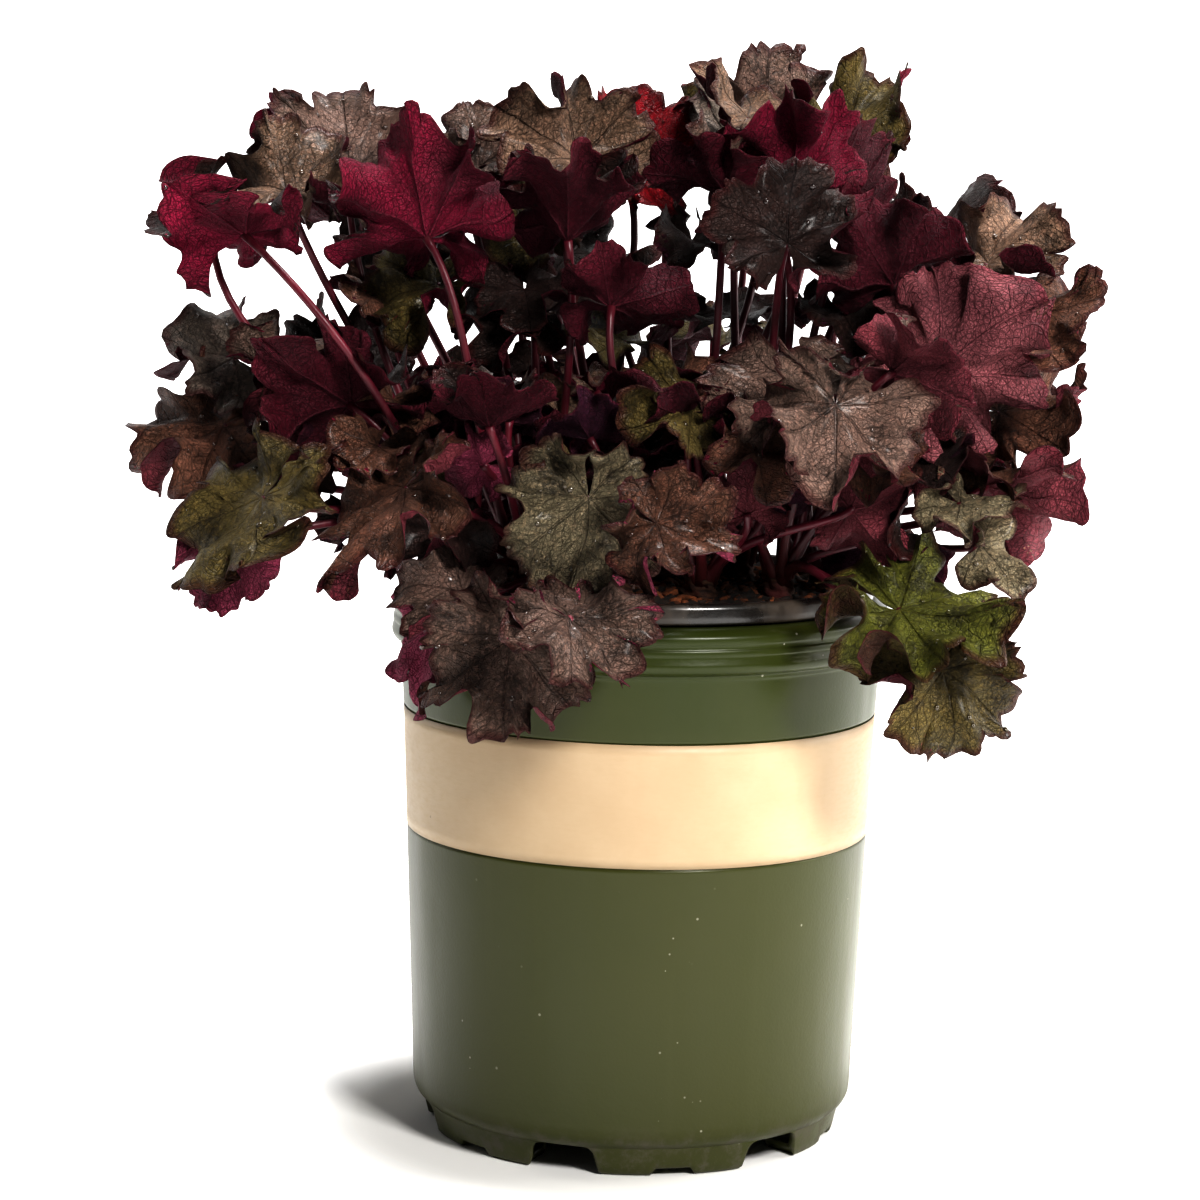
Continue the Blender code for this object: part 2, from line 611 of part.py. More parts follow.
def boolean(body, operation, collection, solver="EXACT"):
    change = body.modifiers.new(operation.capitalize(), "BOOLEAN")
    change.operation = operation
    change.operand_type = "COLLECTION"
    change.collection = collection
    change.solver = solver


def as_cutters(collection):
    for cutter in collection.objects:
        cutter.hide_render = True
        cutter.display_type = "WIRE"


def remove_pieces(collection):
    for piece in list(collection.objects):
        bpy.data.objects.remove(piece)
    bpy.data.collections.remove(collection)


def make_pot(parts):
    """The moulded green pot, with drain slots between its feet and a notch under each foot."""
    pot = turned("pot", POT_PROFILE, STEPS, parts)
    pot.data.materials.append(material("Green plastic", (0.036, 0.062, 0.014), 0.38))
    cutters = new_collection("Foot cutters", hidden=True)
    length = FOOT_OUTSIDE - FOOT_INSIDE
    middle = 0.5 * (FOOT_OUTSIDE + FOOT_INSIDE)
    for width, top, first in ((SLOT_WIDTH, SLOT_TOP, 0.0), (NOTCH_WIDTH, NOTCH_TOP, 180.0 / LUGS)):
        for k in range(LUGS):
            angle = math.radians(FIRST_SLOT_DEG + first) + k * TURN / LUGS
            place = on_axis(middle * math.cos(angle), middle * math.sin(angle), 0.0)
            block("foot cutter", (length, width, 2.0 * top), place, (0.0, 0.0, angle), cutters)
    boolean(pot, "DIFFERENCE", cutters)
    as_cutters(cutters)


def make_grow_pot(parts):
    """The thin black pot the plant grew in, hanging by its rolled rim on the green pot's lip."""
    grow_pot = turned("grow_pot", GROW_POT_PROFILE, STEPS, parts)
    grow_pot.data.materials.append(material("Black plastic", (0.012, 0.012, 0.013), 0.35))


def make_band(parts):
    """The paper band, wrapped round the green pot in its shallow recess."""
    top_in, foot_in = BAND_TOP[0] + GAP, BAND_FOOT[0] + GAP
    profile = [
        (top_in, BAND_TOP[1]),
        (top_in + BAND_WALL, BAND_TOP[1]),
        (foot_in + BAND_WALL, BAND_FOOT[1]),
        (foot_in, BAND_FOOT[1]),
    ]
    band = turned("label_band", profile, STEPS, parts, closed=True)
    band.data.materials.append(material("Cream paper", (0.80, 0.62, 0.38), 0.55))


def chip_places():
    """Seeded places for the bark chips, clear of each other and of the stubs."""
    chance = np.random.default_rng(CHIP_SEED)
    taken = [np.array(place, float) for place in STUBS.values()]
    found = []
    while len(found) < CHIPS:
        place = chance.uniform(-CHIP_RADIUS, CHIP_RADIUS, 2)
        if np.hypot(*place) > CHIP_RADIUS or min(np.hypot(*(place - other)) for other in taken) < CHIP_CLEAR:
            continue
        size = chance.uniform(CHIP_LEAST, CHIP_MOST)
        turn = (chance.uniform(-0.2, 0.2), chance.uniform(-0.16, 0.16), chance.uniform(0.0, math.pi))
        found.append((place, size, turn))
        taken.append(place)
    return found


def make_mix(parts):
    """The potting mix: a turned body with an uneven top, bark chips in it and a hole for each stub."""
    profile = [(0.0, MIX_EDGE)] + [(radius, MIX_EDGE) for radius in MIX_RINGS]
    profile += [(MIX_RADIUS, MIX_EDGE), (MIX_FOOT_RADIUS, MIX_FOOT), (0.0, MIX_FOOT)]
    mix = turned("soil", profile, STEPS, parts)
    apply_modifiers(mix)
    for vertex in mix.data.vertices:
        if vertex.co.z > 0.5 * (MIX_EDGE + MIX_FOOT) * MM:
            vertex.co.z = mix_height(vertex.co.x / MM, vertex.co.y / MM) * MM
    mix.data.materials.append(material("Bark and peat", (0.045, 0.022, 0.012), 0.95))
    chips = new_collection("Bark chips")
    for (x, y), size, turn in chip_places():
        block("chip", size, on_axis(x, y, mix_height(x, y) + 0.1 * size[2]), Euler(turn), chips)
    boolean(mix, "UNION", chips)
    holes = new_collection("Stub holes", hidden=True)
    for x, y in STUBS.values():
        ground = mix_height(x, y)
        radius = STUB_RADIUS + 1.2 * GAP
        post("hole", radius, radius, ground - STUB_BELOW - GAP, ground + STUB_ABOVE, x, y, holes)
    boolean(mix, "DIFFERENCE", holes)
    as_cutters(holes)
    bpy.context.view_layer.update()
    apply_modifiers(mix)
    remove_pieces(chips)


def add_blade(leaf, nature, hub, tilt, pieces):
    """A leaf's blade: its open waved surface, made solid."""
    points, faces = placed_blade(leaf, nature, hub, tilt)
    mesh = bpy.data.meshes.new(leaf.name)
    mesh.from_pydata((points * MM).tolist(), [], faces)
    blade = add_object(leaf.name, mesh, pieces)
    blade.location = on_axis()
    wall = blade.modifiers.new("Wall", "SOLIDIFY")
    wall.thickness = BLADE_WALL * MM
    wall.offset = 0.0


def add_stalk(leaf, nature, hub, tilt, bow, pieces):
    """A leaf's stalk: a tapered curve with filled caps, made a mesh."""
    t = np.linspace(0.0, 1.0, STALK_PIECES + 1)
    curve = bpy.data.curves.new("stalk", "CURVE")
    curve.dimensions = "3D"
    curve.bevel_depth = MM
    curve.bevel_resolution = 0
    curve.use_fill_caps = True
    spline = curve.splines.new("POLY")
    spline.points.add(STALK_PIECES)
    path = stalk_path(leaf, nature, hub, tilt, bow, t)
    for point, place, radius in zip(spline.points, path, stalk_radius(t)):
        point.co = (*(place * MM), 1.0)
        point.radius = radius
    guide = add_object("stalk", curve, pieces)
    guide.location = on_axis()
    bpy.context.view_layer.update()
    graph = bpy.context.evaluated_depsgraph_get()
    mesh = bpy.data.meshes.new_from_object(guide.evaluated_get(graph))
    shape = bmesh.new()
    shape.from_mesh(mesh)
    bmesh.ops.remove_doubles(shape, verts=shape.verts, dist=0.001 * MM)
    shape.to_mesh(mesh)
    shape.free()
    stalk = add_object("stalk mesh", mesh, pieces)
    stalk.matrix_world = guide.matrix_world
    bpy.data.objects.remove(guide)


def make_shoot(name, leaves, parts, made_of):
    """A shoot: its woody stub in the mix, with its leaves' stalks and blades joined to it."""
    x, y = STUBS[name]
    ground = mix_height(x, y)
    stub = post(name, STUB_RADIUS, STUB_TOP_RADIUS, ground - STUB_BELOW, ground + STUB_ABOVE, x, y, parts)
    pieces = new_collection(name + " pieces")
    for leaf, nature, hub, tilt, bow in leaves:
        add_blade(leaf, nature, hub, tilt, pieces)
        add_stalk(leaf, nature, hub, tilt, bow, pieces)
    boolean(stub, "UNION", pieces, solver="MANIFOLD")
    bpy.context.view_layer.update()
    apply_modifiers(stub)
    remove_pieces(pieces)
    stub.data.materials.clear()
    stub.data.materials.append(made_of)


def main():
    clear_scene()
    parts = new_collection("Heuchera in a pot")
    make_pot(parts)
    make_grow_pot(parts)
    make_band(parts)
    make_mix(parts)
    placed = settle()
    for name in STUBS:
        foliage = material(name + " foliage", (0.075, 0.022, 0.022), 0.45)
        make_shoot(name, [entry for entry in placed if entry[0].shoot == name], parts, foliage)


if __name__ == "__main__":
    main()
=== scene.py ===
import math
from collections import namedtuple
from itertools import product

import bpy
import numpy as np
from mathutils import Matrix, Vector
from mathutils.bvhtree import BVHTree


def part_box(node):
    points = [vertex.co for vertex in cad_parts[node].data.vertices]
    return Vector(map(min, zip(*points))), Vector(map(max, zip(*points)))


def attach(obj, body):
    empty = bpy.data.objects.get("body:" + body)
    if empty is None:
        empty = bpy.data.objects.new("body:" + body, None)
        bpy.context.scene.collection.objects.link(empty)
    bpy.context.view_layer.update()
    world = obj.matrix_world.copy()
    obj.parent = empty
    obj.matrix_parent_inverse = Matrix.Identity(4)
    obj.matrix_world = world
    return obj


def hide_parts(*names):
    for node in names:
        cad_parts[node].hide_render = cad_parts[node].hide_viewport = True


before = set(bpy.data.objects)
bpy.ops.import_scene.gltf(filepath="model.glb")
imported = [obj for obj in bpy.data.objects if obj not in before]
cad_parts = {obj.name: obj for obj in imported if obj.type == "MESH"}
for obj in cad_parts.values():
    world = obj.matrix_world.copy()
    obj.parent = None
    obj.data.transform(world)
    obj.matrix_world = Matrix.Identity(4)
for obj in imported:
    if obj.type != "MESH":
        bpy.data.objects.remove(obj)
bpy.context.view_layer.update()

# The plant stands on a pale studio sweep: a floor that curves up into a wall far behind it.
# Nothing of it belongs to the object.
MM = 0.001
TURN = 2.0 * math.pi
pot_low, pot_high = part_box("pot")
axis = np.array([0.5 * (pot_low.x + pot_high.x), 0.5 * (pot_low.y + pot_high.y), 0.0])
SWEEP_WIDTH = 9.0
SWEEP_FRONT = -4.0
SWEEP_BACK = 3.2
SWEEP_BEND = 1.6
SWEEP_TOP = 4.0


def grid_faces(rows, columns, across=False, along=False):
    """Quads of a grid of rows by columns, joined across its last and first column, or its last and first
    row, where asked. A quad runs down a row, then on a column, so rows x columns is its way out."""
    i = np.arange(rows if along else rows - 1)[:, None]
    j = np.arange(columns if across else columns - 1)[None, :]
    below, beside = (i + 1) % rows, (j + 1) % columns
    quads = [i * columns + j, below * columns + j, below * columns + beside, i * columns + beside]
    return np.stack([np.broadcast_to(q, (i.size, j.size)) for q in quads], axis=-1).reshape(-1, 4)


def new_piece(name, points, quads, triangles=(), smooth=True):
    """A mesh object from its points, in millimetres about the pot's axis, and its faces."""
    quads = np.asarray(quads, np.int32).reshape(-1, 4)
    triangles = np.asarray(triangles, np.int32).reshape(-1, 3)
    corners = np.concatenate([quads.ravel(), triangles.ravel()])
    starts = np.concatenate([4 * np.arange(len(quads)), 4 * len(quads) + 3 * np.arange(len(triangles))])
    mesh = bpy.data.meshes.new(name)
    mesh.vertices.add(len(points))
    mesh.vertices.foreach_set("co", (np.asarray(points) * MM + axis).astype(np.float32).ravel())
    mesh.loops.add(len(corners))
    mesh.loops.foreach_set("vertex_index", corners.astype(np.int32))
    mesh.polygons.add(len(starts))
    mesh.polygons.foreach_set("loop_start", starts.astype(np.int32))
    mesh.update(calc_edges=True)
    mesh.validate()
    if smooth:
        mesh.shade_smooth()
    piece = bpy.data.objects.new(name, mesh)
    bpy.context.scene.collection.objects.link(piece)
    return piece


def feed(tree, node, values):
    """A node's inputs, each set to a value or linked to a socket."""
    for key, value in values.items():
        if isinstance(value, bpy.types.NodeSocket):
            tree.links.new(value, node.inputs[key])
        else:
            node.inputs[key].default_value = value


def add_node(tree, kind, values=(), **settings):
    """A shader node with its settings and its inputs."""
    made = tree.nodes.new("ShaderNode" + kind)
    for name, value in settings.items():
        setattr(made, name, value)
    feed(tree, made, dict(values))
    return made


def new_material(name):
    """A material with its tree and its Principled shader."""
    made = bpy.data.materials.new(name)
    made.use_nodes = True
    return made, made.node_tree, made.node_tree.nodes["Principled BSDF"]


def calc(tree, operation, a, b=0.0, c=0.0, clamp=False):
    """One sum on numbers or sockets."""
    return add_node(tree, "Math", {0: a, 1: b, 2: c}, operation=operation, use_clamp=clamp).outputs[0]


def times(tree, a, b):
    """Two numbers or sockets, multiplied."""
    return calc(tree, "MULTIPLY", a, b)


def fade(tree, value, low, high, to_low=0.0, to_high=1.0):
    """Goes smoothly from one number to another as a value goes from low to high."""
    inputs = {0: value, 1: low, 2: high, 3: to_low, 4: to_high}
    return add_node(tree, "MapRange", inputs, interpolation_type="SMOOTHSTEP").outputs[0]


def object_place(tree, stretch=(1.0, 1.0, 1.0)):
    """The piece's own coordinates in metres about the pot's axis, stretched for streaks."""
    place = add_node(tree, "TexCoord").outputs["Object"]
    moved = [-axis[k] * stretch[k] for k in range(3)]
    return add_node(tree, "Mapping", {"Vector": place, "Location": moved, "Scale": stretch}).outputs[0]


# Its section runs level from the front, bends up in a quarter circle and ends upright.
rise = np.concatenate([[0.0], np.linspace(0.0, 1.0, 24), [1.2]])
bend = 0.5 * math.pi * np.clip(rise, 0.0, 1.0)
sweep_y = SWEEP_BACK - SWEEP_BEND + SWEEP_BEND * np.sin(bend)
sweep_z = SWEEP_BEND * (1.0 - np.cos(bend))
sweep_y[0], sweep_z[-1] = SWEEP_FRONT, SWEEP_TOP
sweep = [[(side * SWEEP_WIDTH / 2, y, z) for side in (-1, 1)] for y, z in zip(sweep_y, sweep_z)]
sweep = (np.array(sweep).reshape(-1, 3) - axis) / MM
floor = new_piece("studio_sweep", sweep, grid_faces(len(rise), 2)[:, ::-1])

# The floor glows white away from the pot, as it does in a bright photograph, and less so in what it lights.
WHITE = (1.0, 1.0, 1.0, 1.0)
floor_white, tree, shader = new_material("Matt white sweep")
from_axis = object_place(tree, (1.0, 1.0, 0.0))
ground = add_node(tree, "VectorMath", {0: from_axis}, operation="LENGTH").outputs["Value"]
glow = calc(tree, "ADD", fade(tree, ground, 0.085, 0.14, 0.0, 1.0), fade(tree, ground, 0.9, 2.4, 0.0, 0.40))
rays = add_node(tree, "LightPath").outputs
shown = calc(tree, "MAXIMUM", rays["Is Camera Ray"], rays["Is Glossy Ray"])
glow = times(tree, glow, fade(tree, shown, 0.0, 1.0, 0.14, 1.0))
feed(tree, shader, {"Base Color": (0.92, 0.915, 0.905, 1.0), "Roughness": 0.9})
feed(tree, shader, {"Emission Color": WHITE, "Emission Strength": glow})
floor.data.materials.append(floor_white)

# The view and the light: a long lens a little over a metre off, level with the leaf tops and looking
# slightly down; soft boxes right in front, over and right behind the plant, weak ones on its left, and a
# room that is white to the eye but lights the plant only faintly.
CAMERA_AWAY = 1.155
CAMERA_HEIGHT = 0.333
CAMERA_DOWN = math.radians(7.7)
CAMERA_ROLL = math.radians(1.2)
CAMERA_LENS = 105.0
CAMERA_SENSOR = 36.0
PICTURE_WIDTH = 1200
AXIS_RIGHT_OF_MIDDLE = 42
CAMERA_LEFT = math.atan(AXIS_RIGHT_OF_MIDDLE * CAMERA_SENSOR / (CAMERA_LENS * PICTURE_WIDTH))
lens = bpy.data.cameras.new("Long lens")
lens.lens = CAMERA_LENS
lens.sensor_width = CAMERA_SENSOR
camera = bpy.data.objects.new("Camera", lens)
look_level = math.cos(CAMERA_DOWN)
look = Vector(
    (-math.sin(CAMERA_LEFT) * look_level, math.cos(CAMERA_LEFT) * look_level, -math.sin(CAMERA_DOWN))
)


def aimed(place, way):
    """The matrix of a camera or a lamp at a place, looking a given way."""
    return Matrix.Translation(place) @ way.to_track_quat("-Z", "Y").to_matrix().to_4x4()


stand = Vector(axis) + Vector((0.0, -CAMERA_AWAY, CAMERA_HEIGHT))
camera.matrix_world = aimed(stand, look) @ Matrix.Rotation(CAMERA_ROLL, 4, "Z")
bpy.context.scene.collection.objects.link(camera)
bpy.context.scene.camera = camera


def soft_box(name, watts, size, place, target, colour):
    """A square area light at a place, turned towards a target."""
    lamp = bpy.data.lights.new(name, "AREA")
    lamp.energy = watts
    lamp.size = size
    lamp.color = colour
    body = bpy.data.objects.new(name, lamp)
    body.matrix_world = aimed(Vector(place), Vector(target) - Vector(place))
    bpy.context.scene.collection.objects.link(body)


LEAVES_MIDDLE = (0.0, 0.0, 0.24)
ROOM_LIGHT = 0.04
soft_box("Key", 27.0, 0.34, (0.66, -1.10, 1.02), LEAVES_MIDDLE, (1.0, 0.985, 0.96))
soft_box("Fill left", 0.7, 0.5, (-1.3, -0.5, 0.6), LEAVES_MIDDLE, (1.0, 0.99, 0.97))
soft_box("Rim", 17.0, 0.9, (1.25, 0.30, 0.65), (0.0, 0.0, 0.18), (1.0, 0.98, 0.95))
soft_box("Rim left", 2.2, 0.4, (-1.1, 0.55, 0.7), LEAVES_MIDDLE, (1.0, 0.99, 0.97))
soft_box("Top", 21.0, 0.5, (0.10, 0.25, 1.5), LEAVES_MIDDLE, WHITE[:3])
room = bpy.data.worlds.new("White room")
room.use_nodes = True
tree = room.node_tree
dim = tree.nodes["Background"]
feed(tree, dim, {"Color": WHITE, "Strength": ROOM_LIGHT})
pale = add_node(tree, "Background", {"Color": WHITE, "Strength": 1.0})
seen = add_node(tree, "LightPath").outputs["Is Camera Ray"]
either = add_node(tree, "MixShader", {0: seen, 1: dim.outputs[0], 2: pale.outputs[0]})
feed(tree, tree.nodes["World Output"], {"Surface": either.outputs[0]})
bpy.context.scene.world = room
bpy.context.scene.view_settings.view_transform = "Standard"
bpy.context.scene.view_settings.gamma = 0.72
bpy.context.scene.view_settings.exposure = 0.17

# The outer pot is one moulding in semi-gloss dark green plastic: a tapered wall with a shallow recess for
# the band, a stepped collar with fine rings, and a ring foot that six drain slots cut into lugs, each with
# a thin notch under it. The wall and the floor plate are turned, and the lugs join them from below.
POT_STEPS = 176
POT_CORNER = 0.9
POT_WALL = [
    (68.7, 9.5), (72.2, 18.0), (76.9, 142.0), (78.8, 174.0), (75.8, 177.4), (75.8, 179.0), (78.6, 178.8),
    (80.4, 178.0), (82.2, 176.4), (82.3, 174.2), (81.9, 173.7), (81.9, 172.6), (82.4, 172.0), (82.5, 170.6),
    (82.2, 170.2), (82.5, 168.8), (83.0, 167.0), (82.3, 165.2), (81.0, 164.3), (80.1, 163.9), (80.0, 162.6),
    (79.7, 162.2), (78.7, 142.5), (78.1, 142.1), (76.5, 101.7), (77.0, 101.3), (73.75, 16.0),
    (73.4, 13.4), (72.4, 11.4), (71.0, 10.0), (70.4, 9.5),
]
POT_FLOOR = [(0.0, 10.6), (53.5, 10.6), (54.0, 9.9), (52.4, 9.2), (0.0, 9.2)]
SLOT_HALF = 10.8
SLOT_TOP = 9.5
SLOT_CORNER = 2.6
SLOT_FLARE = 2.0
FOOT_CORNER = 1.5
NOTCH_HALF = 6.5
NOTCH_TOP = 2.6
LUGS = 6
FIRST_LUG = math.radians(-78.0)
LUG_COLUMNS = 72
LUG_OUTSIDE = [
    (52.6, 9.4), (53.5, 6.9), (54.6, 4.2), (55.7, 1.2), (56.1, 0.4), (56.9, 0.0), (62.0, 0.0), (66.8, 0.0),
    (67.7, 0.3), (68.4, 1.1), (68.9, 3.2), (69.6, 6.2), (69.9, 7.4), (70.2, 8.5), (70.4, 9.1), (70.5, 9.5),
    (70.3, 11.2),
]
LUG_INSIDE = [
    (53.7, 10.2), (54.6, 8.2), (55.6, 6.2), (56.6, 4.6), (57.0, 4.1), (57.6, 4.0), (62.0, 4.0), (65.6, 4.0),
    (66.2, 4.1), (66.5, 4.4), (66.9, 5.2), (67.6, 6.8), (67.9, 7.6), (68.3, 8.5), (68.6, 9.1), (68.8, 9.5),
    (69.3, 11.2),
]
NOTCH_REACH = 1.3
NOTCH_SLOPE = 2.4


def softened(profile, radius, bends=4):
    """A profile whose corners are quadratic curves between points up to a radius before and after each."""
    corners = np.asarray(profile, float)
    t = np.linspace(0.0, 1.0, bends + 1)[:, None]
    rounded = [corners[:1]]
    for before, corner, after in zip(corners, corners[1:], corners[2:]):
        sides = [side - corner for side in (before, after)]
        start, end = (corner + min(radius / np.linalg.norm(side), 0.45) * side for side in sides)
        rounded.append((1.0 - t) ** 2 * start + 2.0 * t * (1.0 - t) * corner + t**2 * end)
    return np.concatenate([*rounded, corners[-1:]])


def ring_points(profile, steps):
    """Points (r cos a, r sin a, z) of a profile of (r, z), turned in steps about the axis."""
    angle = TURN * np.arange(steps) / steps
    r, z = profile[:, :1], profile[:, 1:]
    return np.stack([r * np.cos(angle), r * np.sin(angle), z + 0.0 * angle], axis=-1).reshape(-1, 3)


def capped_rings(rings, sides):
    """Quads between rings of points, and fans to a point at either end; those two come after the rings."""
    j = np.arange(sides)
    ahead = (j + 1) % sides
    top, last = rings * sides, (rings - 1) * sides
    fans = [
        np.stack([0 * j + top, j, ahead], axis=1),
        np.stack([0 * j + top + 1, last + ahead, last + j], axis=1),
    ]
    return grid_faces(rings, sides, across=True), np.concatenate(fans)


def turned_solid(profile, steps):
    """A turned body, closed by a point on the axis at either end of its profile."""
    ends = [(0.0, 0.0, profile[0][1]), (0.0, 0.0, profile[-1][1])]
    points = np.concatenate([ring_points(profile[1:-1], steps), ends])
    return points, *capped_rings(len(profile) - 2, steps)


def lug(number):
    """One lug: rings of paired outer and inner points at angle u half(r, z), u from -1 to 1, where half
    leaves the slot clear, w(z) wide to either side and flared downwards: half = 30 degrees -
    asin(w / r); the notch lifts z."""
    r, z = np.concatenate([LUG_OUTSIDE, LUG_INSIDE[::-1]]).T[:, :, None]
    corner = np.clip(z - (SLOT_TOP - SLOT_CORNER), 0.0, SLOT_CORNER)
    width = SLOT_HALF - 0.5 * SLOT_FLARE - SLOT_CORNER + np.sqrt(SLOT_CORNER**2 - corner**2)
    width = width + SLOT_FLARE * np.clip(1.0 - z / SLOT_TOP, 0.0, 1.0)
    width = width + FOOT_CORNER * np.clip(1.0 - z, 0.0, 1.0) ** 2
    u = np.linspace(-1.0, 1.0, LUG_COLUMNS)
    across = u * (math.pi / LUGS - np.arcsin(width / r))
    lift = np.clip((NOTCH_HALF + NOTCH_REACH - np.abs(r * across)) / NOTCH_SLOPE, 0.0, 1.0)
    z = np.maximum(z + 0.0 * u, NOTCH_TOP * lift * lift * (3.0 - 2.0 * lift))
    angle = FIRST_LUG + number * TURN / LUGS + across
    points = np.stack([r * np.cos(angle), r * np.sin(angle), z], axis=-1).reshape(-1, 3)
    sides = len(r)
    walls = grid_faces(sides, LUG_COLUMNS, along=True)[:, ::-1]
    k = np.arange(len(LUG_OUTSIDE) - 1)
    mate, next_mate = sides - 1 - k, sides - 2 - k
    cap = np.stack([k, k + 1, next_mate, mate], axis=1) * LUG_COLUMNS
    return points, np.concatenate([walls, cap, cap[:, ::-1] + LUG_COLUMNS - 1]), np.empty((0, 3), int)


def merged(shells):
    """Several shells of (points, quads, triangles) as one."""
    points, quads, triangles, first = [], [], [], 0
    for some, fours, threes in shells:
        points.append(some)
        quads.append(fours + first)
        triangles.append(threes + first)
        first += len(some)
    return np.concatenate(points), np.concatenate(quads), np.concatenate(triangles)


wall = softened(POT_WALL, POT_CORNER)
wall_faces = grid_faces(len(wall), POT_STEPS, across=True, along=True)
wall_shell = ring_points(wall, POT_STEPS), wall_faces, np.empty((0, 3), int)
floor_shell = turned_solid(softened(POT_FLOOR, POT_CORNER), POT_STEPS)
pot = new_piece("green_pot", *merged([wall_shell, floor_shell, *(lug(k) for k in range(LUGS))]))


def mix_colours(tree, share, first, second, blend_type="MIX"):
    """Two colours, each a triple or a socket, mixed by a share."""
    first, second = ((*c, 1.0) if isinstance(c, tuple) else c for c in (first, second))
    inputs = {0: share, 6: first, 7: second}
    return add_node(tree, "Mix", inputs, data_type="RGBA", blend_type=blend_type).outputs[2]


def layered(tree, colour, *coats):
    """A colour with others laid over it in turn, each by its share."""
    for share, over in coats:
        colour = mix_colours(tree, share, colour, over)
    return colour


def summed(tree, total, *parts, clamp=False):
    """A number or socket with others added to it, each times its weight, and kept to 0 to 1 where asked."""
    for part, weight in parts:
        total = calc(tree, "MULTIPLY_ADD", part, weight, total, clamp)
    return total


def noise(tree, place, scale, detail=3.0, roughness=0.55):
    """Noise from 0 to 1 over a place."""
    inputs = {"Vector": place, "Scale": scale, "Detail": detail, "Roughness": roughness}
    return add_node(tree, "TexNoise", inputs).outputs["Fac"]


def bumps(tree, height, strength, distance):
    """A normal that follows a height, a distance in metres for each 1 of it."""
    return add_node(tree, "Bump", {"Height": height, "Strength": strength, "Distance": distance}).outputs[0]


def dust_group():
    """A node group: pale specks of dust, 1 on each. A speck is the middle of a Voronoi cell, as wide as
    Width times the cell, and only where slow noise is over Bareness."""
    group = bpy.data.node_groups.new("Dust specks", "ShaderNodeTree")
    for name, kind in (("Place", "Vector"), ("Scale", "Float"), ("Width", "Float"), ("Bareness", "Float")):
        group.interface.new_socket(name, in_out="INPUT", socket_type="NodeSocket" + kind)
    group.interface.new_socket("Dust", in_out="OUTPUT", socket_type="NodeSocketFloat")
    given = group.nodes.new("NodeGroupInput").outputs
    cells = add_node(group, "TexVoronoi", {"Vector": given["Place"], "Scale": given["Scale"]}).outputs
    any_way = {0: cells["Color"], 1: (9.7, 0.0, 0.0)}
    drift = add_node(group, "VectorMath", any_way, operation="DOT_PRODUCT").outputs["Value"]
    width = times(group, given["Width"], fade(group, calc(group, "FRACT", drift), 0.0, 1.0, 0.45, 1.5))
    speck = fade(group, cells["Distance"], width, times(group, width, 0.5))
    slow = noise(group, given["Place"], 40.0, detail=1.0)
    here = fade(group, slow, given["Bareness"], calc(group, "ADD", given["Bareness"], 0.12))
    feed(group, group.nodes.new("NodeGroupOutput"), {"Dust": times(group, speck, here)})
    return group


def dust_on(tree, at, scale, width, bareness):
    """The dust group in a material, with the material's own values."""
    inputs = {"Place": at, "Scale": scale, "Width": width, "Bareness": bareness}
    return add_node(tree, "Group", inputs, node_tree=dust_specks).outputs["Dust"]


dust_specks = dust_group()
green_plastic, tree, shader = new_material("Green moulded plastic")
at = object_place(tree)
height = add_node(tree, "SeparateXYZ", {0: at}).outputs["Z"]
cloud = noise(tree, at, 14.0, detail=2.0)
streak = noise(tree, object_place(tree, (60.0, 60.0, 3.0)), 1.0, detail=3.0)
dust = dust_on(tree, at, 210.0, 0.085, 0.55)
scuff = noise(tree, object_place(tree, (25.0, 25.0, 160.0)), 1.0, 4.0, 0.7)
scuff = times(tree, fade(tree, scuff, 0.58, 0.72), fade(tree, height, 0.158, 0.166))
seam = times(tree, fade(tree, height, 0.006, 0.0095), fade(tree, height, 0.0145, 0.0105))
low = summed(tree, fade(tree, height, 0.022, 0.0), (seam, 0.6), clamp=True)
foot_dirt = times(tree, low, fade(tree, noise(tree, at, 130.0, 5.0, 0.7), 0.44, 0.66, 0.0, 0.75))
green = layered(
    tree,
    (0.032, 0.044, 0.0055),
    (fade(tree, cloud, 0.3, 0.7), (0.042, 0.050, 0.008)),
    # Painted light and shade: the wall below 130 mm is made paler, as if lit by the white floor, and the wall
    # and collar above 150 mm stay darker, as in the leaves' shade.
    (fade(tree, height, 0.15, 0.13, 0.0, 0.55), (0.070, 0.069, 0.020)),
    (fade(tree, streak, 0.52, 0.75, 0.0, 0.16), (0.090, 0.092, 0.045)),
    (times(tree, scuff, 0.35), (0.20, 0.20, 0.15)),
    (foot_dirt, (0.11, 0.10, 0.075)),
    (times(tree, dust, 0.75), (0.42, 0.40, 0.33)),
)
rough = fade(tree, streak, 0.3, 0.75, 0.30, 0.42)
rough = summed(tree, rough, (dust, 0.4), (scuff, 0.2), (foot_dirt, 0.35))
grain = summed(tree, noise(tree, at, 900.0, 2.0), (noise(tree, at, 55.0, 2.0), 4.0), (dust, 1.0))
feed(tree, shader, {"Base Color": green, "Roughness": rough, "Normal": bumps(tree, grain, 0.12, 0.0004)})
feed(tree, shader, {"Specular IOR Level": 0.27, "Coat Weight": 0.12, "Coat Roughness": 0.22})
pot.data.materials.append(green_plastic)
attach(pot, "root")
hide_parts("pot")

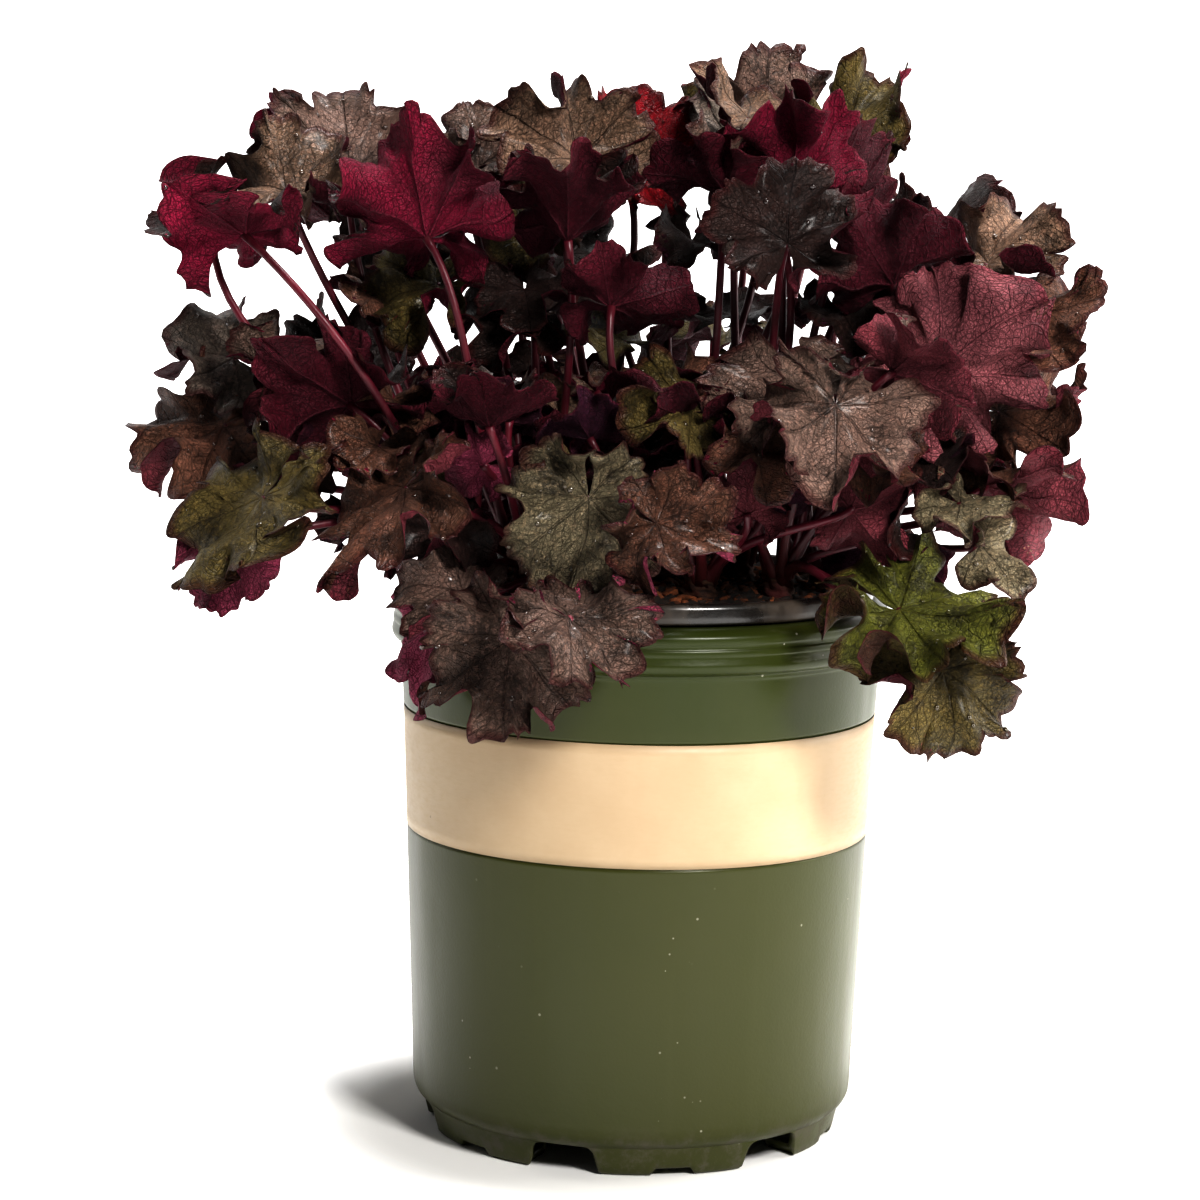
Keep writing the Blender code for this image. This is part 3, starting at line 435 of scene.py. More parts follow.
# The grow pot is a thin black blow-moulded liner, hung by its rolled rim on the green pot's lip. It is
# turned from one profile; only its rim and the inside above the mix show, with dust and dried splashes.
LINER_PROFILE = [
    (0.0, 15.8), (67.6, 15.8), (71.7, 146.0), (72.0, 146.8), (71.8, 147.6), (72.7, 178.0), (72.9, 183.6),
    (73.4, 185.4), (74.6, 186.2), (75.9, 186.0), (76.8, 184.6), (77.0, 181.6), (76.7, 179.6), (75.9, 179.3),
    (74.6, 179.5), (74.1, 176.0), (69.0, 14.6), (0.0, 14.6),
]
LINER_CORNER = 0.6
liner = new_piece("grow_pot_liner", *turned_solid(softened(LINER_PROFILE, LINER_CORNER), POT_STEPS))
black_plastic, tree, shader = new_material("Black liner plastic")
at = object_place(tree)
height = add_node(tree, "SeparateXYZ", {0: at}).outputs["Z"]
cloud = noise(tree, at, 60.0, detail=4.0)
dusty = calc(tree, "MAXIMUM", fade(tree, cloud, 0.42, 0.72, 0.0, 0.6), dust_on(tree, at, 230.0, 0.14, 0.40))
black = layered(
    tree,
    (0.012, 0.011, 0.010),
    (dusty, (0.105, 0.078, 0.055)),
    (fade(tree, height, 0.1865, 0.180, 0.0, 0.3), (0.02, 0.014, 0.010)),
)
rough = fade(tree, dusty, 0.0, 0.8, 0.24, 0.6)
pitted = summed(tree, cloud, (noise(tree, at, 700.0, 2.0), 0.4))
feed(tree, shader, {"Base Color": black, "Roughness": rough, "Normal": bumps(tree, pitted, 0.25, 0.0005)})
feed(tree, shader, {"Coat Weight": 0.45, "Coat Roughness": 0.24})
liner.data.materials.append(black_plastic)
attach(liner, "root")
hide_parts("grow_pot")

# The band is a strip of cream paper wrapped round the green pot in its recess, its ends lapped and glued
# at the back. It is a thin sleeve that follows the pot's taper and steps out where it laps; it is bare.
BAND_STEPS = 240
BAND_TOP = (78.35, 141.8)
BAND_FOOT = (76.75, 102.0)
PAPER = 0.28
LAP_MIDDLE = math.radians(97.0)
LAP_HALF = 0.09
LAP_RISE = 0.22
LAP_EDGE = 0.015
LAP_WAVER = 0.12
level = np.linspace(0.0, 1.0, 12)
angle = LAP_MIDDLE + TURN * (np.arange(BAND_STEPS) + 0.5) / BAND_STEPS
apart = np.abs((angle - LAP_MIDDLE + math.pi) % TURN - math.pi)
lap = LAP_RISE * np.clip((LAP_HALF - apart) / LAP_EDGE + 1.0, 0.0, 1.0)
inner, tall = ((foot + (top - foot) * level)[:, None] for foot, top in zip(BAND_FOOT, BAND_TOP))
radius = np.concatenate([inner + 0.0 * lap, inner[::-1] + PAPER + lap])
tall = np.concatenate([tall, tall[::-1]]) + LAP_WAVER * np.sin(3.0 * angle + 0.6)
sleeve = np.stack([radius * np.cos(angle), radius * np.sin(angle), tall], axis=-1).reshape(-1, 3)
band = new_piece("paper_band", sleeve, grid_faces(2 * len(level), BAND_STEPS, across=True, along=True))
cream_paper, tree, shader = new_material("Cream coated paper")
at = object_place(tree)
height = add_node(tree, "SeparateXYZ", {0: at}).outputs["Z"]
cloud = noise(tree, at, 22.0, detail=5.0, roughness=0.6)
fibre = noise(tree, object_place(tree, (260.0, 260.0, 900.0)), 1.0, detail=3.0)
worn = calc(tree, "MAXIMUM", fade(tree, height, 0.1035, 0.1021), fade(tree, height, 0.1403, 0.1417))
cream = layered(
    tree,
    (0.50, 0.38, 0.248),
    (fade(tree, cloud, 0.32, 0.7), (0.555, 0.44, 0.30)),
    (fade(tree, fibre, 0.45, 0.8, 0.0, 0.12), (0.46, 0.345, 0.215)),
    (times(tree, worn, 0.35), (0.43, 0.325, 0.205)),
    (times(tree, dust_on(tree, at, 140.0, 0.055, 0.58), 0.8), (0.16, 0.12, 0.08)),
)
rough = fade(tree, fibre, 0.3, 0.8, 0.42, 0.56)
relief = bumps(tree, summed(tree, fibre, (cloud, 3.0)), 0.12, 0.0004)
feed(tree, shader, {"Base Color": cream, "Roughness": rough, "Normal": relief})
band.data.materials.append(cream_paper)
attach(band, "root")
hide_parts("label_band")

# The potting mix is dark peat and bark fines, pressed to a low uneven mound inside the liner, with many
# loose orange-brown bark chips lying on and in its surface.
MIX_RADIUS = 72.3
MIX_FOOT_RADIUS = 67.3
MIX_FOOT = 16.3
MIX_EDGE = 182.0
MIX_MOUND = 5.0
MIX_RELIEF = 1.3
MIX_FINE_RINGS = 60
MIX_STEPS = 160
CRUMB = 0.7
CHIPS = 520
CHIP_SEED = 91
CHIP_SIDES = 8
CHIP_SPANS = ((2.2, 9.0), (1.4, 4.6), (0.8, 2.6))


def mix_height(x, y):
    """The potting mix's surface: its edge's height, and a low mound and waves that both fade as 1 - r^2."""
    r2 = (x * x + y * y) / MIX_RADIUS**2
    waves = np.sin(0.19 * x + 0.11 * y + 0.6) * np.cos(0.23 * y - 0.07 * x)
    waves = waves + 0.6 * np.sin(0.41 * x - 0.31 * y + 1.3)
    return MIX_EDGE + MIX_MOUND * (1.0 - r2) + MIX_RELIEF * waves * (1.0 - r2)


def lump_faces(count, sides):
    """Faces of many lumps, each two rings of points, then a point below them and one above."""
    j = np.arange(sides)
    ahead = (j + 1) % sides
    each = 2 * sides + 2
    first = each * np.arange(count)[:, None, None]
    quads = np.stack([j, ahead, ahead + sides, j + sides], axis=1)
    below = np.stack([ahead, j, 0 * j + each - 2], axis=1)
    above = np.stack([j + sides, ahead + sides, 0 * j + each - 1], axis=1)
    return (quads + first).reshape(-1, 4), (np.concatenate([below, above]) + first).reshape(-1, 3)


def bark_chips(count, chance):
    """Chips as flattened ovals of uneven radius: two rings of points and a point above and below, at
    places spread evenly over the mix, each lying at a random tilt and turn."""
    around = TURN * np.arange(CHIP_SIDES) / CHIP_SIDES
    r = (MIX_RADIUS - 5.0) * np.sqrt(chance.random(count))
    a = TURN * chance.random(count)
    x, y = r * np.cos(a), r * np.sin(a)
    half = 0.5 * np.stack([chance.uniform(*span, count) for span in CHIP_SPANS], axis=1)
    uneven = chance.uniform(0.72, 1.15, (count, 2, CHIP_SIDES))
    ring = np.stack([uneven * np.cos(around), uneven * np.sin(around)], axis=-1)
    level = np.array([-0.55, 0.6])[None, :, None, None] + chance.uniform(-0.2, 0.2, (count, 2, CHIP_SIDES, 1))
    ring = np.concatenate([ring, level], axis=-1).reshape(count, -1, 3)
    poles = np.broadcast_to([[0.0, 0.0, -0.9], [0.1, -0.1, 0.95]], (count, 2, 3))
    local = np.concatenate([ring, poles], axis=1) * half[:, None]
    turn = TURN * chance.random(count)
    lean, tip = chance.normal(0.0, 0.32, count), chance.normal(0.0, 0.25, count)
    spin = np.zeros((count, 3, 3))
    for k in range(count):
        turned = Matrix.Rotation(turn[k], 3, "Z") @ Matrix.Rotation(lean[k], 3, "X")
        spin[k] = turned @ Matrix.Rotation(tip[k], 3, "Y")
    points = np.einsum("kij,kpj->kpi", spin, local)
    points += np.stack([x, y, mix_height(x, y) + 0.25 * half[:, 2]], axis=1)[:, None]
    return points.reshape(-1, 3), *lump_faces(count, CHIP_SIDES)


def set_points(mesh, name, kind, values):
    """A mesh attribute with a value at each point."""
    made = mesh.attributes.new(name, kind, "POINT")
    slot = "color" if kind == "FLOAT_COLOR" else "value"
    made.data.foreach_set(slot, np.asarray(values, np.float32).ravel())


def carried(tree, name, output="Fac"):
    """What the mesh carries at each point under a name."""
    return add_node(tree, "Attribute", attribute_name=name).outputs[output]


chance = np.random.default_rng(CHIP_SEED)
profile = [(r, MIX_EDGE) for r in np.linspace(0.0, MIX_RADIUS, MIX_FINE_RINGS)]
profile += [(MIX_FOOT_RADIUS, MIX_FOOT), (0.0, MIX_FOOT)]
ground, quads, fans = turned_solid(np.array(profile), MIX_STEPS)
upper = ground[:, 2] > 0.5 * (MIX_EDGE + MIX_FOOT)
ground[upper, 2] = mix_height(*ground[upper, :2].T)
inside = upper & (np.hypot(*ground[:, :2].T) < MIX_RADIUS - 1.0)
ground[inside] += chance.normal(0.0, CRUMB, (inside.sum(), 3)) * [0.5, 0.5, 1.0]
chips = bark_chips(CHIPS, chance)
mix = new_piece("potting_mix", *merged([(ground, quads, fans), chips]), smooth=False)
shade = np.repeat(chance.uniform(0.15, 1.0, CHIPS), len(chips[0]) // CHIPS)
set_points(mix.data, "bark", "FLOAT", np.concatenate([0.0 * ground[:, 0], shade]))
peat, tree, shader = new_material("Bark and peat")
at = object_place(tree)
bark = carried(tree, "bark")
crumb = noise(tree, at, 330.0, detail=5.0, roughness=0.7)
flecks = add_node(tree, "TexVoronoi", {"Vector": at, "Scale": 420.0}).outputs["Color"]
orange_share = fade(tree, add_node(tree, "SeparateColor", {0: flecks}).outputs[0], 0.86, 0.97, 0.0, 0.8)
grain = noise(tree, object_place(tree, (300.0, 900.0, 900.0)), 1.0, detail=4.0, roughness=0.65)
wood = layered(
    tree,
    (0.075, 0.022, 0.008),
    (fade(tree, grain, 0.3, 0.75), (0.33, 0.105, 0.030)),
    (fade(tree, bark, 0.55, 0.2), (0.022, 0.010, 0.006)),
)
soil = layered(
    tree,
    (0.006, 0.004, 0.003),
    (fade(tree, crumb, 0.35, 0.7), (0.035, 0.018, 0.010)),
    (orange_share, (0.22, 0.065, 0.018)),
    (fade(tree, bark, 0.02, 0.12), wood),
)
rough = fade(tree, crumb, 0.3, 0.8, 0.72, 0.95)
relief = bumps(tree, calc(tree, "ADD", crumb, grain), 0.7, 0.001)
feed(tree, shader, {"Base Color": soil, "Roughness": rough, "Normal": relief})
mix.data.materials.append(peat)
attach(mix, "root")
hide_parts("soil")

# The crown's shoots: each is a short woody stub in the mix from which leaf stalks rise to thin lobed blades,
# dark bronze and wet above, crimson to mauve below. Each shoot is one piece that keeps the form of its
# simpler solid: the same leaves, shaped by the same formulas and put in place by the same search for room.
STEPS = 32
STUB_RADIUS = 5.2
STUB_SIDES = 8
STUB_ABOVE = 9.0
STUB_PLACES = [
    (-36, -36), (-58, -18), (-54, 10), (-8, -46), (-27, -8), (19, -44), (4, -16), (44, -34), (32, -4),
    (60, -9), (54, 22), (-34, 36), (0, 26), (28, 44),
]
STUBS = {f"shoot_{number:02d}": place for number, place in enumerate(STUB_PLACES, 1)}
BLADE_WALL = 0.7
LOBE_STEP = {7: math.radians(48.0), 5: math.radians(62.0)}
BASE_EDGE = {7: math.radians(171.0), 5: math.radians(163.0)}
LOBE_DEPTH = 0.30
CUT_SHARPNESS = 3.5
TOOTH = 0.12
MID_RING = 0.55
SHOULDER = 0.3
LARGE = 32.5
STALK_ROOT = 1.75
STALK_NECK = 1.25
STALK_INSET = 3.0
STALK_PIECES = 3
MIX_RINGS = (24.0, 48.0)
CHIP_RISE = 3.0

# A row places one leaf: its shoot's number, where stalk and blade join (mm), the way its tip points
# (azimuth, 0 to the right and -90 to the front; pitch, up is positive), its roll, its length from stalk to
# tip (mm), how steeply it rises at the stalk, how far its tip bends up by the margin, the ruffle's slope
# (all angles in degrees), and its number of lobes. Leaves keep their place in the order given.
Leaf = namedtuple("Leaf", "name shoot x y z az pitch roll size cup tip ruffle lobes")
LEAVES = [
    ("w1", 4, -40, -93, 178, -100, -66, 8, 33, -5, -12, 39, 7),
    ("w2", 4, -22, -93, 183, -28, -26, -22, 27, 0, -10, 44, 7),
    ("w3", 1, -67, -60, 174, -120, -74, 165, 26, 5, 0, 28, 5),
    ("w4", 4, -56, -88, 188, 172, 8, 46, 23, 5, 0, 39, 5),
    ("t6", 8, 80, -76, 186, -20, -8, -28, 37, 5, -15, 41, 7),
    ("t7", 8, 94, -78, 176, -62, -62, -10, 30, 0, -12, 39, 7),
    ("u1", 4, -13, -88, 220, -98, -66, 0, 33, 0, -14, 41, 7),
    ("u2", 5, -14, -74, 232, 128, 42, 10, 28, 12, 5, 48, 7),
    ("u3", 6, 4, -92, 215, -22, -18, -58, 25, 5, 0, 41, 7),
    ("t4", 10, 100, -52, 217, -35, -16, -16, 22, 5, 0, 39, 5),
    ("s8", 8, 58, -84, 250, -85, -64, 4, 32, 0, 0, 32, 7),
    ("v4", 2, -94, -44, 244, 188, -12, -55, 35, 5, -10, 32, 7),
    ("u9", 1, -74, -80, 221, -142, -38, 0, 35, 0, -18, 39, 7),
    ("v6", 2, -118, -64, 217, -150, -44, 12, 35, 0, -12, 39, 7),
    ("v5", 3, -137, -26, 234, -168, -25, 32, 33, 0, -10, 41, 7),
    ("v1", 3, -136, -6, 251, 172, 12, 42, 28, 5, 0, 39, 5),
    ("v2", 3, -108, -34, 250, 180, 4, 14, 28, 5, 5, 51, 7),
    ("v3", 5, -99, -16, 252, 138, 40, 8, 28, 8, 5, 46, 7),
    ("v7", 2, -128, -60, 201, 190, -62, -80, 22, 5, 0, 28, 5),
    ("u10", 1, -70, -46, 228, 170, 0, 40, 28, 5, 0, 37, 7),
    ("u7", 1, -48, -80, 241, -100, 16, 0, 26, 34, 5, 34, 7),
    ("u5", 6, 14, -58, 245, 178, 10, 36, 27, 8, 0, 37, 7),
    ("u6", 6, 32, -66, 214, -90, 56, 0, 17, 12, 0, 30, 5),
    ("u8", 4, -50, -72, 232, 190, 0, -55, 17, 5, 0, 30, 5),
    ("s9", 6, 50, -60, 251, 178, 0, 30, 32, 5, 0, 41, 7),
    ("s10", 10, 76, -62, 260, -14, -20, 60, 26, 5, 0, 32, 5),
    ("s3", 10, 93, -60, 258, 2, 42, 78, 38, 0, 0, 18, 7),
    ("s7", 10, 116, -30, 243, -10, 6, -36, 33, 5, 0, 44, 7),
    ("s1", 10, 78, -42, 285, -60, 46, 0, 32, 24, 5, 37, 7),
    ("s2", 11, 111, 0, 291, 55, 34, 0, 30, 10, 5, 48, 7),
    ("s4", 11, 120, -16, 271, -12, 2, -26, 30, 5, 0, 44, 7),
    ("s6", 11, 101, -24, 258, 184, -8, 30, 25, 5, 0, 39, 5),
    ("t1", 11, 114, -24, 217, -5, -14, 36, 33, 5, -20, 30, 7),
    ("t2", 8, 72, -40, 208, -20, -22, 60, 28, 5, 0, 37, 7),
    ("t3", 6, 65, -62, 216, 0, 10, 68, 24, 5, 0, 28, 5),
    ("t5", 10, 108, -40, 203, -40, -48, 0, 22, 5, 0, 39, 5),
    ("l4", 2, -128, -26, 297, 184, -4, -30, 30, 8, -10, 39, 7),
    ("l5", 2, -134, -36, 306, 168, 34, -22, 22, 8, 0, 39, 5),
    ("l1", 1, -70, -44, 297, 184, 18, -50, 40, 36, -25, 32, 7),
    ("l2", 3, -100, 8, 315, 108, 52, -8, 35, 8, 20, 34, 7),
    ("l3", 3, -118, -20, 310, 100, 30, 10, 29, 8, 5, 48, 7),
    ("l6", 12, -112, 30, 331, 170, 5, -14, 24, 5, 0, 32, 5),
    ("m1", 5, -26, -36, 297, -90, 24, 0, 37, 42, -10, 37, 7),
    ("m2", 5, -24, -6, 322, 112, 44, 0, 32, 12, 10, 53, 7),
    ("m3", 13, -10, 26, 319, 80, 68, 0, 32, 8, 0, 28, 5),
    ("m4", 12, -57, 18, 319, 120, 56, 0, 24, 8, 0, 32, 5),
    ("m5", 12, -62, -8, 312, 155, 20, 6, 26, 10, 0, 51, 7),
    ("m6", 5, -52, -4, 303, -70, -46, 0, 24, 0, -10, 39, 5),
    ("m7", 13, -23, 34, 294, -60, -36, 0, 30, 0, -10, 39, 7),
    ("m8", 6, -12, -42, 277, 0, 4, 42, 27, 18, 0, 34, 7),
    ("m9", 12, -30, 6, 272, 178, -6, 30, 26, 5, 0, 39, 5),
    ("m10", 1, -69, -10, 281, -172, -16, 36, 27, 5, -10, 46, 7),
    ("r7", 6, 43, -54, 298, 95, 74, 0, 28, 12, 0, 28, 5),
    ("r6", 9, 46, -12, 316, -84, 44, 0, 32, 28, 0, 34, 7),
    ("r8", 7, 56, -34, 307, 8, 16, 50, 37, 30, 0, 34, 7),
    ("r10", 9, 46, -48, 297, 180, 4, 20, 26, 5, 0, 39, 7),
    ("r1", 9, 31, 8, 337, 150, 36, 0, 24, 8, 0, 46, 5),
    ("r2", 7, 36, -12, 331, 176, 0, 8, 32, 5, 0, 46, 7),
    ("r3", 7, 33, -28, 312, 172, 12, -34, 31, 20, 0, 37, 7),
    ("r4", 14, 40, 26, 329, 95, 60, 0, 31, 16, 0, 41, 7),
    ("r5", 11, 66, 34, 327, 65, 40, 0, 31, 10, 0, 48, 7),
    ("r9", 9, 56, 8, 303, 30, 8, 10, 28, 5, 0, 39, 5),
    ("d1", 13, -8, 18, 262, 120, 6, 0, 26, 5, 0, 39, 5),
    ("d2", 14, 30, 22, 270, 60, 6, 0, 26, 5, 0, 39, 5),
    ("d3", 11, 74, 12, 258, -20, 2, -10, 26, 5, 0, 39, 5),
    ("d4", 12, -52, 30, 246, 150, 0, 10, 26, 5, 0, 39, 5),
    ("b1", 14, 96, 58, 300, 35, 15, 0, 31, 8, 0, 44, 7),
    ("b2", 14, 58, 96, 310, 62, 20, 0, 31, 8, 0, 44, 7),
    ("b3", 13, 6, 84, 326, 84, 30, 0, 31, 12, 0, 41, 7),
    ("b4", 13, -44, 92, 300, 112, 15, 0, 31, 8, 0, 44, 7),
    ("b5", 12, -92, 66, 296, 142, 15, 0, 31, 8, 0, 44, 7),
    ("b6", 11, 112, 42, 246, 20, -12, 0, 31, 5, -10, 41, 7),
    ("b7", 14, 82, 92, 248, 50, -12, 0, 31, 5, -10, 41, 7),
    ("b8", 14, 24, 112, 258, 82, -6, 0, 31, 5, -10, 41, 7),
    ("b9", 12, -36, 112, 240, 108, -14, 0, 31, 5, -10, 41, 7),
    ("b10", 12, -92, 86, 236, 135, -14, 0, 31, 5, -10, 41, 7),
    ("b11", 3, -124, 34, 244, 162, -8, 0, 31, 5, -10, 41, 7),
    ("b12", 13, 2, 104, 208, 86, -32, 0, 31, 0, -12, 39, 7),
    ("b13", 14, 66, 72, 196, 48, -34, 0, 30, 0, -12, 39, 7),
    ("b14", 12, -66, 70, 194, 132, -34, 0, 30, 0, -12, 39, 7),
]
LEAVES = [Leaf(name, f"shoot_{number:02d}", *row) for name, number, *row in LEAVES]
FIRST_SEED = 400
SHOOT_SEEDS, YOUNG_SEEDS, SMALL_SEEDS = 100, 200, 300

# Small dark leaves that fill the crown behind the others, alike but for the shoot, place, way and size
# that a row gives; they give way to nothing.
SMALL_LEAVES = [
    (2, -88, -46, 206, -110, -20, 15, 19),
    (2, -98, -28, 228, -130, 5, -20, 20),
    (3, -82, -24, 244, -100, -35, 20, 20),
    (3, -112, -38, 220, -150, -30, 30, 19),
    (1, -62, -60, 206, -95, -40, 0, 19),
    (1, -84, -60, 232, -120, -25, 25, 18),
    (4, -4, -62, 226, -80, -35, 10, 20),
    (5, -24, -58, 212, -100, -15, 30, 19),
    (6, 34, -72, 234, -70, -45, 0, 19),
    (8, 72, -58, 232, -60, -30, -20, 20),
    (10, 88, -38, 230, -50, -20, -30, 20),
    (10, 102, -22, 228, -30, -30, -20, 19),
    (11, 86, -8, 264, -60, -10, 20, 20),
    (3, -88, 0, 276, -110, -15, 20, 20),
    (12, -58, 12, 286, -90, -30, 10, 20),
    (5, -40, -20, 280, -80, -40, -10, 20),
    (13, 14, 20, 296, -90, -20, 20, 20),
    (9, 62, -18, 276, -70, -30, -20, 20),
]
SMALL_LEAVES = [Leaf("y", f"shoot_{number:02d}", *row, 12, 0, 40, 5) for number, *row in SMALL_LEAVES]

# How a leaf gives way to its neighbours: sideways, in depth and in height (mm), in pitch (degrees) and by
# a bow of its stalk (mm); the least change that clears them is taken, and a smaller leaf where none does.
CLEAR_OF_OTHERS = 0.8
SHIFTS_DEPTH = (0, -5, 5, -10, 10, -16, 16, -24, 24, 32, 40, 48)
SHIFTS_SIDE = (0, -4, 4, -8, 8)
SHIFTS_HEIGHT = (0, -4, 4, -8, 8)
TILTS = (0, -12, 12)
WAYS = sorted(
    (abs(depth) + 3.0 * abs(side) + 3.0 * abs(height) + 1.2 * abs(tilt), side, depth, height, tilt)
    for depth, side, height, tilt in product(SHIFTS_DEPTH, SHIFTS_SIDE, SHIFTS_HEIGHT, TILTS)
)
BOWS = (0, -10, 10, -20, 20)
SMALLER = (1.0, 0.86)
POT_PROFILE = [
    (0.0, 10.6), (53.5, 10.6), (57.0, 4.0), (66.4, 4.0), (72.2, 18.0), (76.9, 142.0), (78.8, 174.0),
    (75.8, 177.4), (75.8, 179.0), (78.6, 178.8), (82.2, 176.4), (82.5, 168.4), (83.0, 167.0),
    (82.3, 165.2), (80.0, 163.6), (78.7, 142.4), (78.1, 142.1), (76.5, 101.7), (77.0, 101.4),
    (73.9, 19.0), (69.9, 7.4), (68.3, 0.9), (67.2, 0.0), (56.2, 0.0), (52.4, 9.2), (0.0, 9.2),
]
GROW_POT_PROFILE = [
    (0.0, 15.8), (67.6, 15.8), (72.7, 178.0), (72.9, 184.2), (73.9, 185.9), (75.4, 186.2), (76.5, 184.8),
    (76.9, 181.2), (76.5, 179.3), (74.6, 179.3), (74.1, 176.0), (69.0, 14.6), (0.0, 14.6),
]

# Upper and lower tone of each leaf: g grey-mauve, b bronze, B pale bronze, o olive, y yellow-green, d near
# black, s silver-grey, S silver-olive, r red above; c crimson, u burgundy, U purple, m mauve, M pale mauve,
# p pink below. B and S are light partly by the leaf's colour and partly as painted highlight of its wet
# silvery sheen; r is painted light: the red glow of a leaf lit through from behind.
LOOKS = {
    "w1": "gm", "w2": "gp", "w3": "bp", "w4": "gm", "t6": "yo", "t7": "om", "u1": "So", "u2": "Bu",
    "u3": "bp", "t4": "Sb", "s8": "gm", "v4": "du", "u9": "bm", "v6": "oo", "v5": "bm", "v1": "su",
    "v2": "gc", "v3": "du", "v7": "bp", "u10": "ou", "u7": "du", "u5": "ou", "u6": "bm", "u8": "bp",
    "s9": "gu", "s10": "gm", "s3": "bM", "s7": "bm", "s1": "du", "s2": "Bu", "s4": "bm", "s6": "bu",
    "t1": "bm", "t2": "dU", "t3": "bm", "t5": "Sm", "l4": "dc", "l5": "dc", "l1": "dc", "l2": "gc",
    "l3": "Bu", "l6": "dc", "m1": "du", "m2": "Bu", "m3": "rc", "m4": "gu", "m5": "gc", "m6": "ou",
    "m7": "du", "m8": "du", "m9": "du", "m10": "oc", "r7": "du", "r6": "dc", "r8": "du", "r10": "gu",
    "r1": "Bu", "r2": "sc", "r3": "gu", "r4": "gu", "r5": "oc", "r9": "du",
}
TONES = {
    "g": (0.168, 0.112, 0.088),
    "b": (0.158, 0.077, 0.050),
    # B and S: partly the leaf's colour, partly painted highlight of its wet silvery sheen.
    "B": (0.212, 0.138, 0.094),
    "o": (0.130, 0.100, 0.034),
    "y": (0.125, 0.130, 0.026),
    "d": (0.034, 0.018, 0.015),
    "s": (0.160, 0.128, 0.104),
    "S": (0.230, 0.195, 0.125),
    # r: painted light, the red glow of a leaf lit through from behind.
    "r": (0.250, 0.006, 0.014),
    "c": (0.285, 0.012, 0.054),
    "u": (0.095, 0.006, 0.018),
    "U": (0.055, 0.010, 0.030),
    "m": (0.300, 0.072, 0.092),
    "M": (0.460, 0.165, 0.185),
    "p": (0.460, 0.085, 0.165),
}
FINE_LARGE = (34, 14)
FINE_OTHER = (26, 10)
FINE_BACK = (18, 8)
FINE_YOUNG = (12, 6)
EVEN_SHARE = 0.93
FINE_DEPTH = 0.25
FINE_SHARPNESS = 6.5
SCALLOPS = 2.5
SCALLOP = 0.065
POINT = 0.012
CALM = 0.30
UNDULATION = 0.16
FRILL = (0.215, 0.055, 0.012)
USUAL_SIZE = 30.0
VEIN_SLANT = 1.1
VEIN_SPACING = 0.26
GROOVE, GROOVE_WIDTH = 0.22, 0.020
RIB, RIB_WIDTH = 0.6, 0.026
SWELL, BLISTER = 0.26, 0.34
FINE_WALL = 0.48
LEAF_SKIN, STALK_SKIN, CROWN_WOOD, WATER = range(4)
YOUNG = 5
CROWN_REACH = 66.0
DROPS = 16
DROP_RADIUS = 1.15
DROP_SIDES = 8
SHEATH, SHEATH_SHARE = 1.5, 0.05
NECK, NECK_SHARE = 0.35, 0.03
STUB_SUNK = 6.0
STALK_SIDES = 9
STALK_RINGS = 18


def unit(vector):
    """A vector's direction, 1 long."""
    return np.asarray(vector, float) / np.linalg.norm(vector)


def frame_of(leaf, tilt=0.0):
    """The blade's tip direction, its left side and its upper face's normal, as unit vectors."""
    az, pitch, roll = (math.radians(v) for v in (leaf.az, leaf.pitch + tilt, leaf.roll))
    tip = np.array([math.cos(az) * math.cos(pitch), math.sin(az) * math.cos(pitch), math.sin(pitch)])
    level = np.array([-math.sin(az), math.cos(az), 0.0])
    above = np.cross(tip, level)
    side = level * math.cos(roll) - above * math.sin(roll)
    face = above * math.cos(roll) + level * math.sin(roll)
    return tip, side, face


def egg(theta):
    """An egg's outline, 1 at the tip and narrower behind the stalk."""
    return 0.82 + 0.18 * np.cos(theta)


def whole_margin(leaf, nature, theta):
    """Distance from stalk to margin of an uncut leaf: egg-shaped and a little uneven."""
    uneven = 1.0 + nature["uneven"][0] * np.sin(2 * theta + nature["phase"][0])
    uneven += nature["uneven"][1] * np.sin(3 * theta + nature["phase"][1])
    return leaf.size * egg(theta) * uneven


def notch(turn, sharpness):
    """1 midway between two lobes, 0 on each."""
    return (0.5 - 0.5 * np.cos(TURN * turn)) ** sharpness


def margin(leaf, nature, theta):
    """Distance from stalk to margin: the whole leaf, cut between its lobes and toothed on each."""
    turn = np.abs(theta) / LOBE_STEP[leaf.lobes]
    teeth = TOOTH * (np.abs(np.cos(1.5 * TURN * turn)) - 0.5)
    return whole_margin(leaf, nature, theta) * (1.0 - LOBE_DEPTH * notch(turn, CUT_SHARPNESS)) * (1.0 + teeth)


def nature_of(number):
    """What differs by chance from leaf to leaf."""
    chance = np.random.default_rng(FIRST_SEED + number)
    return {
        "uneven": chance.uniform(0.02, 0.07, 2),
        "phase": chance.uniform(0.0, TURN, 5),
        "wander": np.radians(chance.uniform(8.0, 24.0, 3)),
        "bow": chance.uniform(-6.0, 6.0, 2),
    }


def blade_points(leaf, nature, rho, theta, length=None):
    """Points of the blade about its stalk, along tip, side and face.

    Along each ray the slope goes evenly from the cup at the stalk to the margin's own slope, which drops
    at the tip of each lobe, rises between lobes and wanders round the leaf: each ray is a circular arc.
    """
    slope_in = math.radians(leaf.cup)
    turn = np.abs(theta) / LOBE_STEP[leaf.lobes]
    slope_out = math.radians(leaf.tip) * np.cos(theta) - math.radians(leaf.ruffle) * np.cos(TURN * turn)
    for k, wander, phase in zip((2, 3, 5), nature["wander"], nature["phase"][2:]):
        slope_out = slope_out + wander * np.sin(k * theta + phase)
    bend = (slope_out - 0.2 * slope_in) * rho
    length = margin(leaf, nature, theta) if length is None else length
    length = rho * length * np.sinc(0.5 * bend / math.pi)
    middle = slope_in + 0.5 * bend
    out, up = length * np.cos(middle), length * np.sin(middle)
    return out * np.cos(theta), out * np.sin(theta), up


